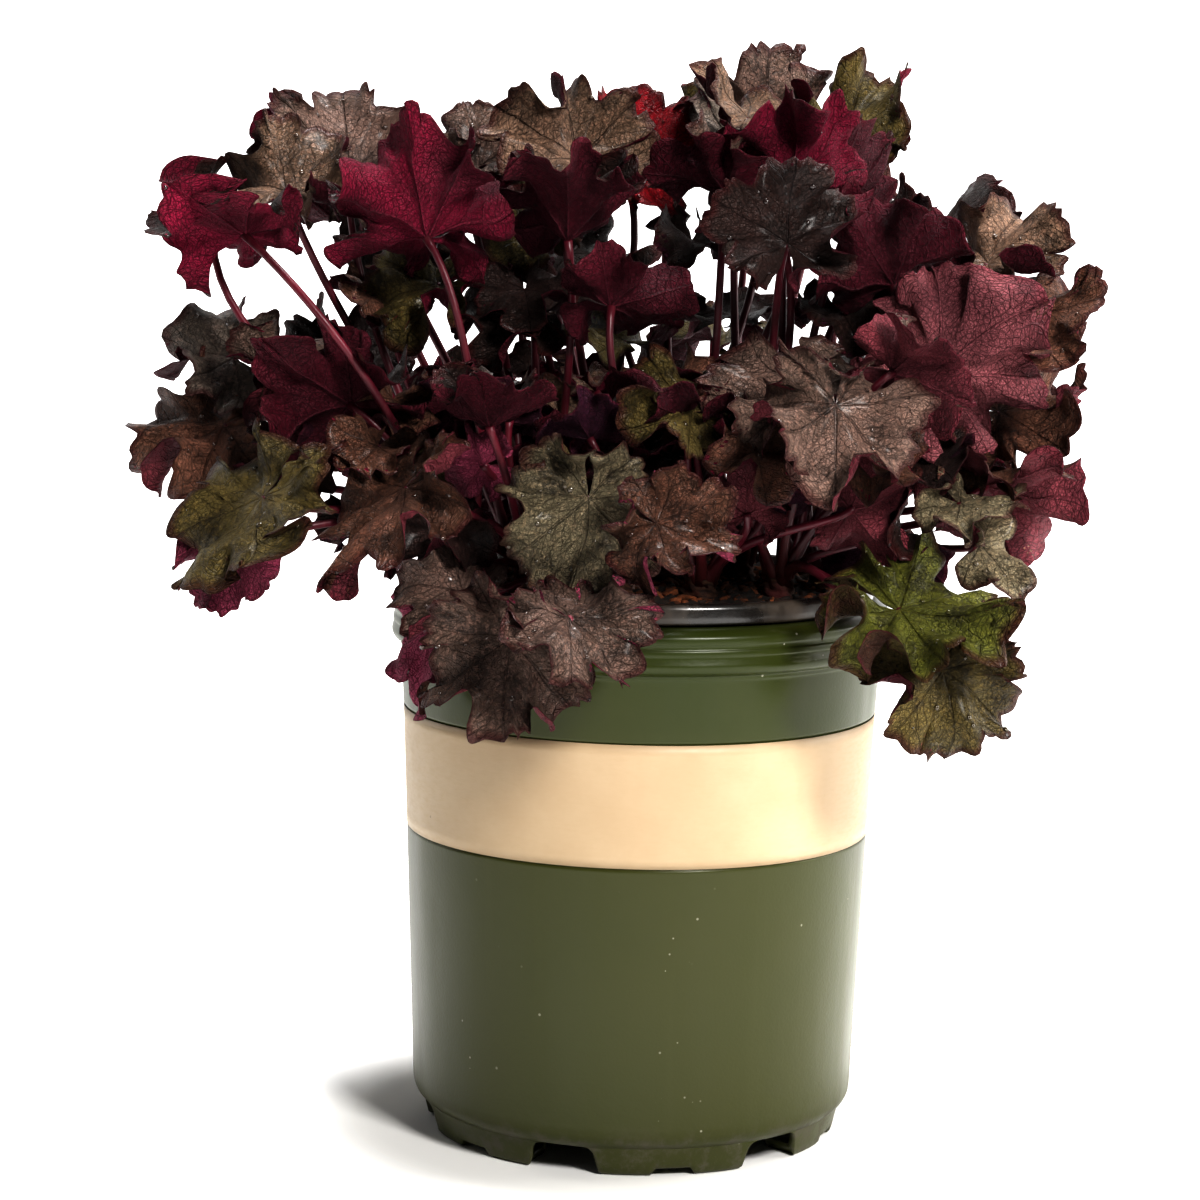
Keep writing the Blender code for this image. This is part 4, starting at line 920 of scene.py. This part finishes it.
def blade_grid(leaf):
    """The coarse blade's rays and its triangles.

    A large blade is a fan and then three triangles to each half lobe; any other is a fan alone.
    """
    step, edge = LOBE_STEP[leaf.lobes], BASE_EDGE[leaf.lobes]
    lobes = range(-(leaf.lobes // 2), leaf.lobes // 2 + 1)
    cuts = [(k + 0.5) * step for k in lobes[:-1]]
    shoulders = [(k + side * SHOULDER) * step for k in lobes for side in (-1, 1)]
    if leaf.size < LARGE:
        outer = sorted([-edge, *cuts, *shoulders, edge])
        faces = [(0, i, i + 1) for i in range(1, len(outer))]
        return np.array([0.0] + [1.0] * len(outer)), np.array([0.0] + outer), faces
    inner = sorted([-edge, *cuts, *(k * step for k in lobes), edge])
    outer = sorted(inner + shoulders)
    first_outer = 1 + len(inner)
    faces = []
    for i in range(len(inner) - 1):
        p, q = 1 + i, 2 + i
        a = first_outer + 2 * i
        faces += [(0, p, q), (p, a, a + 1), (p, a + 1, q), (q, a + 1, a + 2)]
    rho = np.array([0.0] + [MID_RING] * len(inner) + [1.0] * len(outer))
    return rho, np.array([0.0] + inner + outer), faces


def placed_blade(leaf, nature, hub, tilt):
    """The coarse blade's points and triangles, its stalk's end at the hub."""
    rho, theta, faces = blade_grid(leaf)
    tip, side, face = frame_of(leaf, tilt)
    along, across, up = blade_points(leaf, nature, rho, theta)
    points = hub + np.outer(along, tip) + np.outer(across, side) + np.outer(up, face)
    return points, faces


def midrib(leaf, nature):
    """The way the coarse blade leaves its stalk towards its tip, along tip, side and face."""
    reach, spread = (MID_RING, 0.0) if leaf.size >= LARGE else (1.0, SHOULDER * LOBE_STEP[leaf.lobes])
    points = np.array(blade_points(leaf, nature, reach, np.array([-spread, spread])))
    return unit(points.mean(axis=1))


def stalk_path(leaf, nature, hub, tilt, bow, t):
    """A cubic curve from inside the stub to the blade, which it meets from below and behind."""
    tip, side, face = frame_of(leaf, tilt)
    stub = np.array([*STUBS[leaf.shoot], mix_height(*STUBS[leaf.shoot]) + STUB_ABOVE - 4.0])
    out = hub - stub
    out[2] = 0.0
    reach = np.linalg.norm(hub - stub)
    outward = unit(out)
    start = stub + 2.0 * outward
    sway = np.array([-outward[1], outward[0], 0.0])
    arrive = unit(0.45 * tip + 0.85 * face + 0.25 * outward)
    first = start + 0.38 * reach * unit([*(0.5 * outward[:2]), 1.0]) + (bow + nature["bow"][0]) * sway
    end = hub + STALK_INSET * midrib(leaf, nature) @ np.array([tip, side, face])
    second = end - 0.34 * reach * arrive + (bow + nature["bow"][1]) * sway
    t = np.asarray(t)[:, None]
    return (1 - t) ** 3 * start + 3 * t * (1 - t) ** 2 * first + 3 * t**2 * (1 - t) * second + t**3 * end


def stalk_radius(t):
    """A stalk's radius, which goes evenly from its root to its neck."""
    return STALK_ROOT + (STALK_NECK - STALK_ROOT) * np.asarray(t)


def thick_blade(points, faces, wall):
    """Both faces of a blade, pushed apart along its normals, as loose triangles."""
    corners = points[np.array(faces)]
    flat = np.cross(corners[:, 1] - corners[:, 0], corners[:, 2] - corners[:, 0])
    normals = np.zeros_like(points)
    for i in range(3):
        np.add.at(normals, np.array(faces)[:, i], flat)
    normals /= np.linalg.norm(normals, axis=1)[:, None]
    both = np.vstack([points + 0.5 * wall * normals, points - 0.5 * wall * normals])
    return both, np.vstack([np.array(faces), np.array(faces) + len(points)])


def loose(quads):
    """Each quad as two triangles."""
    return np.concatenate([quads[:, [0, 3, 2]], quads[:, [0, 2, 1]]])


def tube(path, radius, sides=4):
    """A tube's open side wall along a path, as loose triangles."""
    ahead = np.gradient(path, axis=0)
    ahead /= np.linalg.norm(ahead, axis=1)[:, None]
    across = np.cross(ahead, [0.31, 0.77, 0.55])
    across /= np.linalg.norm(across, axis=1)[:, None]
    third = np.cross(ahead, across)
    angle = np.arange(sides) * TURN / sides
    rings = path[:, None] + radius[:, None, None] * (
        np.cos(angle)[None, :, None] * across[:, None] + np.sin(angle)[None, :, None] * third[:, None]
    )
    return rings.reshape(-1, 3), loose(grid_faces(len(path), sides, across=True))


def lathe_shell(profile, steps):
    """A turned surface as loose triangles, for measuring what is clear of it."""
    return ring_points(np.array(profile), steps), loose(grid_faces(len(profile), steps, across=True))


def solid(points, faces):
    """A surface's box and its search tree."""
    tree = BVHTree.FromPolygons(points.tolist(), [tuple(face) for face in faces.tolist()])
    return (points.min(axis=0), points.max(axis=0)), tree


def boxes_meet(a, b):
    """Whether two boxes, each its lowest and its highest corner, overlap."""
    return bool((a[0] <= b[1]).all() and (b[0] <= a[1]).all())


def meets(mine, others):
    """Whether any of my surfaces cuts one of the others."""
    return any(boxes_meet(mine[0], other[0]) and mine[1].overlap(other[1]) for other in others)


def stub_column(shoot):
    """A column a little wider and taller than a stub, which other shoots' leaves keep clear of."""
    x, y = STUBS[shoot]
    top = mix_height(x, y) + STUB_ABOVE + 0.5
    radius = STUB_RADIUS + 1.0
    points, faces = lathe_shell([(radius, MIX_EDGE - 4.0), (radius, top), (0.1, top)], STUB_SIDES)
    return solid(points + np.array([x, y, 0.0]), faces)


def ground_shell():
    """The mix's surface as loose triangles, raised by as much as a bark chip stands out."""
    rings = np.array([(r, 0.0) for r in (*MIX_RINGS, MIX_RADIUS)])
    points = np.concatenate([[(0.1, 0.0, 0.0)], ring_points(rings, STEPS)])
    points[:, 2] = mix_height(points[:, 0], points[:, 1]) + CHIP_RISE
    j = np.arange(STEPS)
    fan = np.stack([0 * j, 1 + j, 1 + (j + 1) % STEPS], axis=1)
    return points, np.concatenate([fan, 1 + loose(grid_faces(len(rings), STEPS, across=True))])


def room_for(leaf, nature, blades, stalks, strangers):
    """The least shift, tilt and stalk bow that keep a leaf clear of all that stands, or None."""
    t = np.linspace(0.0, 1.0, STALK_PIECES + 1)
    around = blades + strangers + [stalk for shoot, stalk in stalks if shoot == leaf.shoot]
    for _, side, depth, height, tilt in WAYS:
        hub = np.array([leaf.x + side, leaf.y + depth, leaf.z + height], float)
        points, faces = placed_blade(leaf, nature, hub, tilt)
        if meets(solid(*thick_blade(points, faces, BLADE_WALL + 2 * CLEAR_OF_OTHERS)), around):
            continue
        for bow in BOWS:
            path = stalk_path(leaf, nature, hub, tilt, bow, t)
            stalk = solid(*tube(path, stalk_radius(t) + CLEAR_OF_OTHERS))
            if not meets(stalk, blades + strangers):
                return hub, tilt, bow
    return None


def settle():
    """Each leaf at its size, hub, tilt and stalk bow, clear of pot, mix and every leaf placed before it."""
    fixed = [
        solid(*lathe_shell(POT_PROFILE, STEPS)),
        solid(*lathe_shell(GROW_POT_PROFILE, STEPS)),
        solid(*ground_shell()),
    ]
    columns = {shoot: stub_column(shoot) for shoot in STUBS}
    blades, stalks, placed = [], [], []
    t = np.linspace(0.0, 1.0, STALK_PIECES + 1)
    for number, row in enumerate(LEAVES):
        strangers = fixed + [column for shoot, column in columns.items() if shoot != row.shoot]
        strangers += [stalk for shoot, stalk in stalks if shoot != row.shoot]
        for scale in SMALLER:
            leaf = row._replace(size=scale * row.size)
            nature = nature_of(number)
            found = room_for(leaf, nature, blades, stalks, strangers)
            if found:
                break
        if not found:
            raise ValueError(f"leaf {row.name} finds no room")
        hub, tilt, bow = found
        placed.append((leaf, nature, hub, tilt, bow))
        blades.append(solid(*thick_blade(*placed_blade(leaf, nature, hub, tilt), BLADE_WALL)))
        path = stalk_path(leaf, nature, hub, tilt, bow, t)
        stalks.append((leaf.shoot, solid(*tube(path, stalk_radius(t)))))
    return placed


def fine_margin(leaf, nature, chance, theta):
    """The whole margin with narrower cuts, five scallops of uneven depth to a lobe, and a small point on
    each."""
    turn = np.abs(theta) / LOBE_STEP[leaf.lobes]
    drift = chance.uniform(0.0, TURN, 5)
    uneven = turn + 0.055 * np.sin(5.0 * theta + drift[0]) + 0.03 * np.sin(11.0 * theta + drift[1])
    cut = notch(turn, FINE_SHARPNESS) * (1.0 + 0.35 * np.sin(2.3 * theta + drift[4]))
    deep = SCALLOP * (1.0 + 0.5 * np.sin(7.0 * theta + drift[2]))
    teeth = deep * (np.abs(np.cos(SCALLOPS * TURN * uneven)) - 0.5)
    points = POINT * (1.0 + 0.6 * np.sin(13.0 * theta + drift[3]))
    points = points * (1.0 - np.abs(np.sin(SCALLOPS * TURN * uneven)))
    return whole_margin(leaf, nature, theta) * (1.0 - FINE_DEPTH * cut) * (1.0 + teeth + points)


def shell(points, quads, triangles, material, **given):
    """A closed body: its faces, its material's number, and what its points carry, 0 where nothing is
    given: upper face or not, rho, and their place on the leaf and on its lobe."""
    made = {"points": points, "quads": quads, "triangles": triangles, "material": material}
    for key, width in (("upper", ()), ("rho", ()), ("leaf", (2,)), ("lobe", (2,))):
        made[key] = given.get(key, np.zeros((len(points), *width)))
    return made


def waved(x, y, wave, phase):
    """A wave over the leaf: its height at a place is sin(a x + b y + phase)."""
    return np.sin(wave[0] * x + wave[1] * y + phase)


def blade_height(leaf, chance, rho, theta):
    """How far the fine blade stands off its calm surface: it rolls in slow waves over the leaf, frills
    towards the margin in waves a sin(f t + p) rho^n, dips along each lobe's midline, and swells between its
    side veins; with the place along and across its lobe."""
    step = LOBE_STEP[leaf.lobes]
    turn = theta / step
    phases = chance.uniform(0.0, TURN, 10)
    waves = chance.uniform(0.55, 1.15), chance.uniform(1.5, 2.4), chance.uniform(3.2, 4.6)
    swing = 1.0 + 0.5 * np.sin(2.0 * theta + phases[4])
    bent = phases[5] + 0.9 * np.sin(theta + phases[1])
    frill = FRILL[0] * np.sin(TURN * turn * waves[0] + phases[0]) * rho**2.5
    frill = frill + FRILL[1] * swing * np.sin(TURN * turn * waves[1] + bent) * rho**5
    frill = frill + FRILL[2] * np.sin(TURN * turn * waves[2] + phases[6]) * rho**7
    x, y = rho * np.cos(theta), rho * np.sin(theta)
    slow = waved(x, y, (3.4, 1.6), phases[7]) * waved(x, y, (-1.2, 3.1), phases[8])
    slow = slow + 0.45 * waved(x, y, (7.3, 4.1), phases[9]) * waved(x, y, (-3.0, 6.7), phases[2])
    off_lobe = (turn - np.round(turn)) * step
    along, across = rho * np.cos(off_lobe) * egg(theta), rho * np.sin(off_lobe)
    groove = GROOVE * np.exp(-((across / GROOVE_WIDTH) ** 2)) * np.clip(1.0 - along, 0.0, 1.0)
    swell = np.sin(TURN * (along - VEIN_SLANT * np.abs(across)) / VEIN_SPACING + phases[2])
    swell = swell * np.clip(np.abs(across) / 0.08, 0.0, 1.0)
    blister = waved(x, y, (23.0, 9.0), phases[3]) * waved(x, y, (-8.0, 21.0), phases[2])
    blister = blister + 0.6 * waved(x, y, (41.0, -17.0), phases[1]) * waved(x, y, (0.0, 37.0), phases[0])
    height = leaf.size * (frill + UNDULATION * slow * np.minimum(1.0, 2.0 * rho) * rho) - groove
    height = height + (SWELL * swell + BLISTER * blister) * np.sqrt(rho) * leaf.size / USUAL_SIZE
    return height, along, across


def fine_blade(leaf, nature, chance, hub, tilt):
    """A blade as a closed shell: rows of rho = 1 - (1 - s)^1.35 and columns of theta round the stalk, each
    face half the wall off the calmed coarse surface raised by blade_height, the lower one ribbed."""
    step, edge = LOBE_STEP[leaf.lobes], BASE_EDGE[leaf.lobes]
    each, rings = FINE_LARGE if leaf.size >= LARGE else FINE_OTHER
    if leaf.name[0] in "bd":
        each, rings = FINE_BACK
    if leaf.name[0] == "y":
        each, rings = FINE_YOUNG
    columns = 2 * round(edge / step * each) + 1
    share = np.arange(1, rings + 1) / rings
    rows = 1.0 - (1.0 - share) ** 1.35
    rho, theta = np.meshgrid(rows, np.linspace(-edge, edge, columns), indexing="ij")
    outline = fine_margin(leaf, nature, chance, theta[0])
    even = leaf.size * egg(theta) * EVEN_SHARE
    length = even + (outline - even) * rho**2
    calm = leaf._replace(ruffle=CALM * leaf.ruffle)
    local = np.stack(blade_points(calm, nature, rho, theta, length), axis=-1)
    height, along, across = blade_height(leaf, chance, rho, theta)
    slope = np.cross(np.gradient(local, axis=0), np.gradient(local, axis=1))
    normal = slope / np.maximum(np.linalg.norm(slope, axis=-1), 1e-9)[..., None]
    local = local + height[..., None] * normal
    half = 0.5 * FINE_WALL * (1.0 - 0.6 * rho**2)
    rib = RIB * np.exp(-((across / RIB_WIDTH) ** 2)) * np.clip(1.0 - along, 0.0, 1.0) ** 1.5
    top = local + half[..., None] * normal
    under = local - (half + rib)[..., None] * normal
    hubs = np.array([[0.0, 0.0, 0.1], [0.0, 0.0, -0.9]])
    points = np.concatenate([top.reshape(-1, 3), under.reshape(-1, 3), hubs])
    sheet = grid_faces(rings, columns)
    size = rings * columns
    j = np.arange(columns - 1)
    fan = np.stack([0 * j + 2 * size, j, j + 1], axis=1)
    under_fan = np.stack([0 * j + 2 * size + 1, size + j + 1, size + j], axis=1)
    out = np.arange(rings) * columns
    front = (rings - 1) * columns + np.arange(1, columns - 1)
    rim = np.concatenate([out, front, (out + columns - 1)[::-1]])
    upper_loop, lower_loop = np.append(rim, 2 * size), np.append(rim + size, 2 * size + 1)
    wall = np.stack([lower_loop, np.roll(lower_loop, -1), np.roll(upper_loop, -1), upper_loop], axis=1)
    flat = np.stack([rho * np.cos(theta), rho * np.sin(theta)], axis=-1).reshape(-1, 2)
    flat = flat * leaf.size / USUAL_SIZE
    lobe = np.stack([along, across], axis=-1).reshape(-1, 2)
    nowhere = np.zeros((2, 2))
    body = shell(
        points @ np.array(frame_of(leaf, tilt)) + hub,
        np.concatenate([sheet, sheet[:, ::-1] + size, wall]),
        np.concatenate([fan, under_fan]),
        LEAF_SKIN,
        upper=np.concatenate([np.ones(size), np.zeros(size), [1.0, 0.0]]),
        rho=np.concatenate([rho.ravel(), rho.ravel(), [0.0, 0.0]]),
        leaf=np.concatenate([flat, flat, nowhere]),
        lobe=np.concatenate([lobe, lobe, nowhere]),
    )
    return {**body, "grid": (columns, rings)}


def fine_stalk(leaf, nature, hub, tilt, bow):
    """A stalk as a closed tube of its path, widened into a sheath at the stub and into the blade's ribs at
    its neck, with its end drawn under the blade's own stalk point."""
    t = np.linspace(0.0, 1.0, STALK_RINGS)
    path = stalk_path(leaf, nature, hub, tilt, bow, t)
    tip, _, face = frame_of(leaf, tilt)
    path = path + np.outer(t**4, hub - 0.35 * face + 0.4 * tip - path[-1])
    radius = stalk_radius(t) * 0.92 + SHEATH * np.exp(-t / SHEATH_SHARE)
    radius = radius + NECK * np.exp((t - 1.0) / NECK_SHARE)
    points = np.concatenate([tube(path, radius, STALK_SIDES)[0], [path[0], path[-1] + 0.2 * face]])
    quads, fans = capped_rings(STALK_RINGS, STALK_SIDES)
    rho = np.concatenate([np.repeat(t, STALK_SIDES), [0.0, 1.0]])
    return shell(points, quads[:, ::-1], fans[:, ::-1], STALK_SKIN, rho=rho)


def fine_stub(shoot, chance):
    """A stub as a closed turned body with uneven ridges: leaf scars and old sheaths up its side."""
    x, y = STUBS[shoot]
    ground = float(mix_height(x, y))
    heights = np.concatenate([[0.0], np.linspace(0.0, 1.0, 18), [1.0]])
    heights = heights * (STUB_ABOVE + STUB_SUNK) + ground - STUB_SUNK
    radii = np.concatenate([[0.0], np.full(15, STUB_RADIUS), [4.9, 4.4, 3.0, 0.0]])
    profile = np.stack([radii, heights], axis=1)[::-1]
    profile[0, 1] += 0.8
    points, quads, fans = turned_solid(profile, 26)
    angle, rise = np.arctan2(points[:, 1], points[:, 0]), points[:, 2] - ground
    phases = chance.uniform(0.0, TURN, 3)
    ridge = 0.45 * np.sin(5 * angle + 1.1 * rise + phases[0])
    ridge = ridge + 0.3 * np.sin(2.6 * rise + 2 * angle + phases[1])
    ridge = ridge + 0.25 * np.sin(9 * angle + phases[2]) - 0.3
    points[:, :2] *= (1.0 + ridge / STUB_RADIUS)[:, None]
    return shell(points + [x, y, 0.0], quads, fans, CROWN_WOOD)


def droplets(leaf, blade, chance):
    """Water drops as low closed domes on a leaf's upper face: a rim of points sunk a little into the face,
    a ring and a top, at columns and rows of the blade's own grid drawn by chance."""
    count = int(DROPS * (leaf.size / USUAL_SIZE) ** 2)
    columns, rings = blade["grid"]
    row, column = chance.integers(2, rings - 1, count), chance.integers(4, columns - 4, count)
    at = row * columns + column
    points = blade["points"]
    centre = points[at]
    along = points[at + columns] - points[at - columns]
    around = points[at + 1] - points[at - 1]
    up = np.cross(along, around)
    up /= np.linalg.norm(up, axis=1)[:, None]
    across = along / np.linalg.norm(along, axis=1)[:, None]
    third = np.cross(up, across)
    size = chance.uniform(0.35, 1.0, count) ** 1.6 * DROP_RADIUS
    angle = TURN * np.arange(DROP_SIDES) / DROP_SIDES
    circle = np.cos(angle)[:, None] * across[:, None] + np.sin(angle)[:, None] * third[:, None]
    size, up = size[:, None, None], up[:, None]
    middle = centre[:, None]
    rows = [middle + size * (circle - 0.04 * up), middle + size * (0.74 * circle + 0.32 * up)]
    rows += [middle - 0.08 * size * up, middle + 0.52 * size * up]
    points = np.concatenate(rows, axis=1).reshape(-1, 3)
    return shell(points, *lump_faces(count, DROP_SIDES), WATER, upper=np.ones(len(points)))


def leaf_tones(leaf, chance):
    """Upper and lower colour of a leaf, each a little off its tone by chance; unlisted leaves draw theirs."""
    look = LOOKS.get(leaf.name) or chance.choice(list("gbod")) + chance.choice(list("uuccm"))
    if leaf.name == "y":
        look = chance.choice(["du", "bu", "dU", "bc"])
    return [np.array([*(np.array(TONES[key]) * chance.uniform(0.85, 1.18)), 1.0]) for key in look]


def young_leaves(name, chance):
    """Small leaves: some on short stalks close round a stub, drawn by chance, and those in the table."""
    x, y = STUBS[name]
    made = []
    for k in range(YOUNG):
        way = TURN * (k + chance.uniform(0.0, 0.8)) / YOUNG
        away, rise = chance.uniform(8.0, 26.0), chance.uniform(20.0, 62.0)
        place = np.array([x + away * math.cos(way), y + away * math.sin(way)])
        place = place * min(1.0, CROWN_REACH / max(np.hypot(*place), 1.0))
        held = chance.uniform(-10.0, 55.0), chance.uniform(-40.0, 40.0), chance.uniform(13.0, 20.0)
        leaf = Leaf("y", name, *place, 0.0, math.degrees(way), *held, 15, 0, 40, 5)
        hub = np.array([*place, mix_height(*place) + rise])
        made.append((leaf, nature_of(YOUNG_SEEDS + int(name[-2:]) * YOUNG + k), hub, 0.0, 0.0))
    for k, leaf in enumerate(SMALL_LEAVES):
        if leaf.shoot == name:
            hub = np.array([leaf.x, leaf.y, leaf.z], float)
            made.append((leaf, nature_of(SMALL_SEEDS + k), hub, 0.0, 0.0))
    return made


def shoot_piece(name, leaves, materials):
    """A shoot's stub, stalks and blades as one mesh, with tone, upper, rho and each leaf's place on it."""
    chance = np.random.default_rng(FIRST_SEED + SHOOT_SEEDS + int(name[-2:]))
    shells = [(fine_stub(name, chance), (0.0, 0.0, 0.0, 1.0), (0.0, 0.0, 0.0, 1.0))]
    for leaf, nature, hub, tilt, bow in leaves + young_leaves(name, chance):
        tones = leaf_tones(leaf, chance)
        blade = fine_blade(leaf, nature, chance, hub, tilt)
        shells.append((blade, *tones))
        if leaf.name[0] not in "bdy":
            shells.append((droplets(leaf, blade, chance), *tones))
        shells.append((fine_stalk(leaf, nature, hub, tilt, bow), *tones))
    points, quads, triangles = merged([(s["points"], s["quads"], s["triangles"]) for s, *_ in shells])
    piece = new_piece(name + "_fine", points, quads, triangles)
    mesh = piece.data
    for key in ("upper", "rho"):
        set_points(mesh, key, "FLOAT", np.concatenate([s[key] for s, *_ in shells]))
    tone = [np.where(s["upper"][:, None] > 0.5, above, below) for s, above, below in shells]
    set_points(mesh, "tone", "FLOAT_COLOR", np.concatenate(tone))
    vertex = np.zeros(len(mesh.loops), np.int32)
    mesh.loops.foreach_get("vertex_index", vertex)
    for key in ("leaf", "lobe"):
        place = np.concatenate([s[key] for s, *_ in shells])[vertex]
        mesh.uv_layers.new(name=key).data.foreach_set("uv", place.astype(np.float32).ravel())
    fours = np.concatenate([np.full(len(s["quads"]), s["material"]) for s, *_ in shells])
    threes = np.concatenate([np.full(len(s["triangles"]), s["material"]) for s, *_ in shells])
    mesh.polygons.foreach_set("material_index", np.concatenate([fours, threes]).astype(np.int32))
    for made in materials:
        mesh.materials.append(made)
    return piece


def vein_group():
    """A node group: veins from 0 to 1 and the blade's relief, worked out from its place along and across
    its lobe and over the leaf. Side veins lie where along - 1.1 |across| is a multiple of a spacing; the
    fine net is the edges of small cells."""
    group = bpy.data.node_groups.new("Leaf veins", "ShaderNodeTree")
    for name in ("Veins", "Net", "Relief"):
        group.interface.new_socket(name, in_out="OUTPUT", socket_type="NodeSocketFloat")
    place, lobe = (add_node(group, "UVMap", uv_map=name).outputs[0] for name in ("leaf", "lobe"))
    lobe = add_node(group, "SeparateXYZ", {0: lobe}).outputs
    wobble = noise(group, place, 5.0, detail=2.0)
    across = calc(group, "ABSOLUTE", lobe["Y"])
    main = fade(group, summed(group, across, (lobe["X"], 0.006)), 0.020, 0.008)
    right_side = calc(group, "GREATER_THAN", lobe["Y"], 0.0)
    wobble = summed(group, wobble, (right_side, 0.055))
    run = summed(group, lobe["X"], (across, -VEIN_SLANT), (wobble, 0.16))
    side = fade(group, calc(group, "PINGPONG", run, 0.065), 0.010, 0.003, 0.0, 0.75)
    veins = calc(group, "MAXIMUM", main, side)
    net = 0.0
    for scale, width, share in ((17.0, 0.10, 1.0), (42.0, 0.14, 0.6)):
        edges = add_node(group, "TexVoronoi", feature="DISTANCE_TO_EDGE", voronoi_dimensions="2D")
        feed(group, edges, {"Vector": place, "Scale": scale})
        net = calc(group, "MAXIMUM", net, fade(group, edges.outputs["Distance"], width, 0.0, 0.0, share))
    relief = summed(group, veins, (net, 0.45), (noise(group, place, 9.0, 3.0), 0.8))
    feed(group, group.nodes.new("NodeGroupOutput"), {"Veins": veins, "Net": net, "Relief": relief})
    return group


def leaf_material():
    """Above: the leaf's tone, mottled, wet, with lighter patches of painted silvery sheen, sunken darker
    veins and a red-brown margin. Below: its lower tone, matt, with raised paler veins."""
    made, tree, shader = new_material("Heuchera leaf")
    veins = add_node(tree, "Group", node_tree=vein_group()).outputs
    at = object_place(tree)
    tone, upper, rho = carried(tree, "tone", "Color"), carried(tree, "upper"), carried(tree, "rho")
    blotch = noise(tree, at, 75.0, detail=5.0, roughness=0.6)
    patch = noise(tree, at, 28.0, detail=2.0)
    fine = noise(tree, at, 620.0, detail=3.0, roughness=0.65)
    painted_sheen = mix_colours(tree, 1.0, tone, (2.1, 2.1, 2.2), "MULTIPLY")
    grain = mix_colours(tree, 1.0, tone, (2.5, 2.3, 2.3), "MULTIPLY")
    pale = mix_colours(tree, 0.35, tone, (0.40, 0.10, 0.14))
    above = layered(
        tree,
        tone,
        # Painted highlight: patches of the tone made lighter stand for the wet tops' silvery sheen.
        (fade(tree, patch, 0.46, 0.64, 0.0, 0.65), painted_sheen),
        (fade(tree, blotch, 0.48, 0.64, 0.0, 0.60), (0.016, 0.009, 0.007)),
        (times(tree, veins["Veins"], 0.30), (0.014, 0.005, 0.006)),
        (times(tree, veins["Net"], 0.30), (0.015, 0.008, 0.007)),
        (fade(tree, fine, 0.48, 0.66, 0.0, 0.42), grain),
        (fade(tree, rho, 0.88, 0.985, 0.0, 0.8), (0.065, 0.010, 0.010)),
    )
    below = layered(
        tree,
        tone,
        (fade(tree, patch, 0.40, 0.66, 0.0, 0.7), (0.045, 0.003, 0.009)),
        (fade(tree, blotch, 0.5, 0.68, 0.0, 0.45), (0.080, 0.007, 0.016)),
        (times(tree, veins["Veins"], 0.38), pale),
        (times(tree, veins["Net"], 0.50), (0.022, 0.003, 0.006)),
        (fade(tree, fine, 0.50, 0.68, 0.0, 0.30), pale),
        (fade(tree, rho, 0.93, 1.0, 0.0, 0.5), (0.16, 0.018, 0.035)),
    )
    shine = times(tree, fade(tree, noise(tree, at, 45.0, 2.0), 0.42, 0.62), upper)
    drops = add_node(tree, "TexVoronoi", {"Vector": at, "Scale": 330.0}).outputs["Distance"]
    few = fade(tree, noise(tree, at, 60.0, 1.0), 0.54, 0.62)
    drop = times(tree, fade(tree, drops, 0.26, 0.12), times(tree, few, upper))
    rough = fade(tree, upper, 0.0, 1.0, 0.62, 0.50)
    relief = times(tree, veins["Relief"], fade(tree, upper, 0.0, 1.0, 1.0, -1.0))
    relief = summed(tree, relief, (drop, 1.2), (fine, 0.35))
    feed(tree, shader, {
        "Base Color": mix_colours(tree, upper, below, above),
        "Roughness": summed(tree, rough, (shine, -0.12), (drop, -0.25), clamp=True),
        "Specular IOR Level": 0.22,
        "Coat Weight": summed(tree, times(tree, shine, 0.16), (drop, 0.6), clamp=True),
        "Coat Roughness": 0.24,
        "Normal": bumps(tree, relief, 1.0, 0.0013),
    })
    return made


def stalk_material():
    """Dark crimson skin, greener and browner low down, finely streaked along the stalk."""
    made, tree, shader = new_material("Heuchera stalk")
    at = object_place(tree)
    streak = noise(tree, object_place(tree, (500.0, 500.0, 40.0)), 1.0, detail=3.0)
    red = layered(
        tree,
        (0.070, 0.004, 0.012),
        (fade(tree, noise(tree, at, 35.0, 3.0), 0.35, 0.7), (0.17, 0.012, 0.030)),
        (fade(tree, carried(tree, "rho"), 0.35, 0.0, 0.0, 0.65), (0.085, 0.022, 0.012)),
        (fade(tree, streak, 0.5, 0.8, 0.0, 0.3), (0.26, 0.05, 0.06)),
    )
    rough = fade(tree, streak, 0.3, 0.8, 0.36, 0.55)
    feed(tree, shader, {"Base Color": red, "Roughness": rough, "Normal": bumps(tree, streak, 0.35, 0.0004)})
    return made


def stub_material():
    """Brown fibrous crown wood with old dark sheaths."""
    made, tree, shader = new_material("Heuchera crown wood")
    at = object_place(tree)
    fibre = noise(tree, object_place(tree, (260.0, 260.0, 900.0)), 1.0, detail=4.0, roughness=0.65)
    brown = layered(
        tree,
        (0.030, 0.012, 0.008),
        (fade(tree, fibre, 0.35, 0.7), (0.14, 0.060, 0.030)),
        (fade(tree, noise(tree, at, 90.0, 3.0), 0.5, 0.7), (0.09, 0.016, 0.014)),
    )
    feed(tree, shader, {"Base Color": brown, "Roughness": 0.82, "Normal": bumps(tree, fibre, 0.7, 0.001)})
    return made


def water_material():
    """Water beads: the leaf's own dark tone seen through a smooth wet surface."""
    made, tree, shader = new_material("Water beads")
    dark = mix_colours(tree, 0.6, carried(tree, "tone", "Color"), (0.03, 0.02, 0.02))
    rough = fade(tree, noise(tree, object_place(tree), 300.0, detail=1.0), 0.3, 0.7, 0.03, 0.09)
    feed(tree, shader, {"Base Color": dark, "Roughness": rough, "Coat Weight": 0.5, "Coat Roughness": 0.02})
    return made


foliage = [leaf_material(), stalk_material(), stub_material(), water_material()]
settled = settle()
for name in STUBS:
    shoot = shoot_piece(name, [entry for entry in settled if entry[0].shoot == name], foliage)
    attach(shoot, "root")
    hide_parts(name)
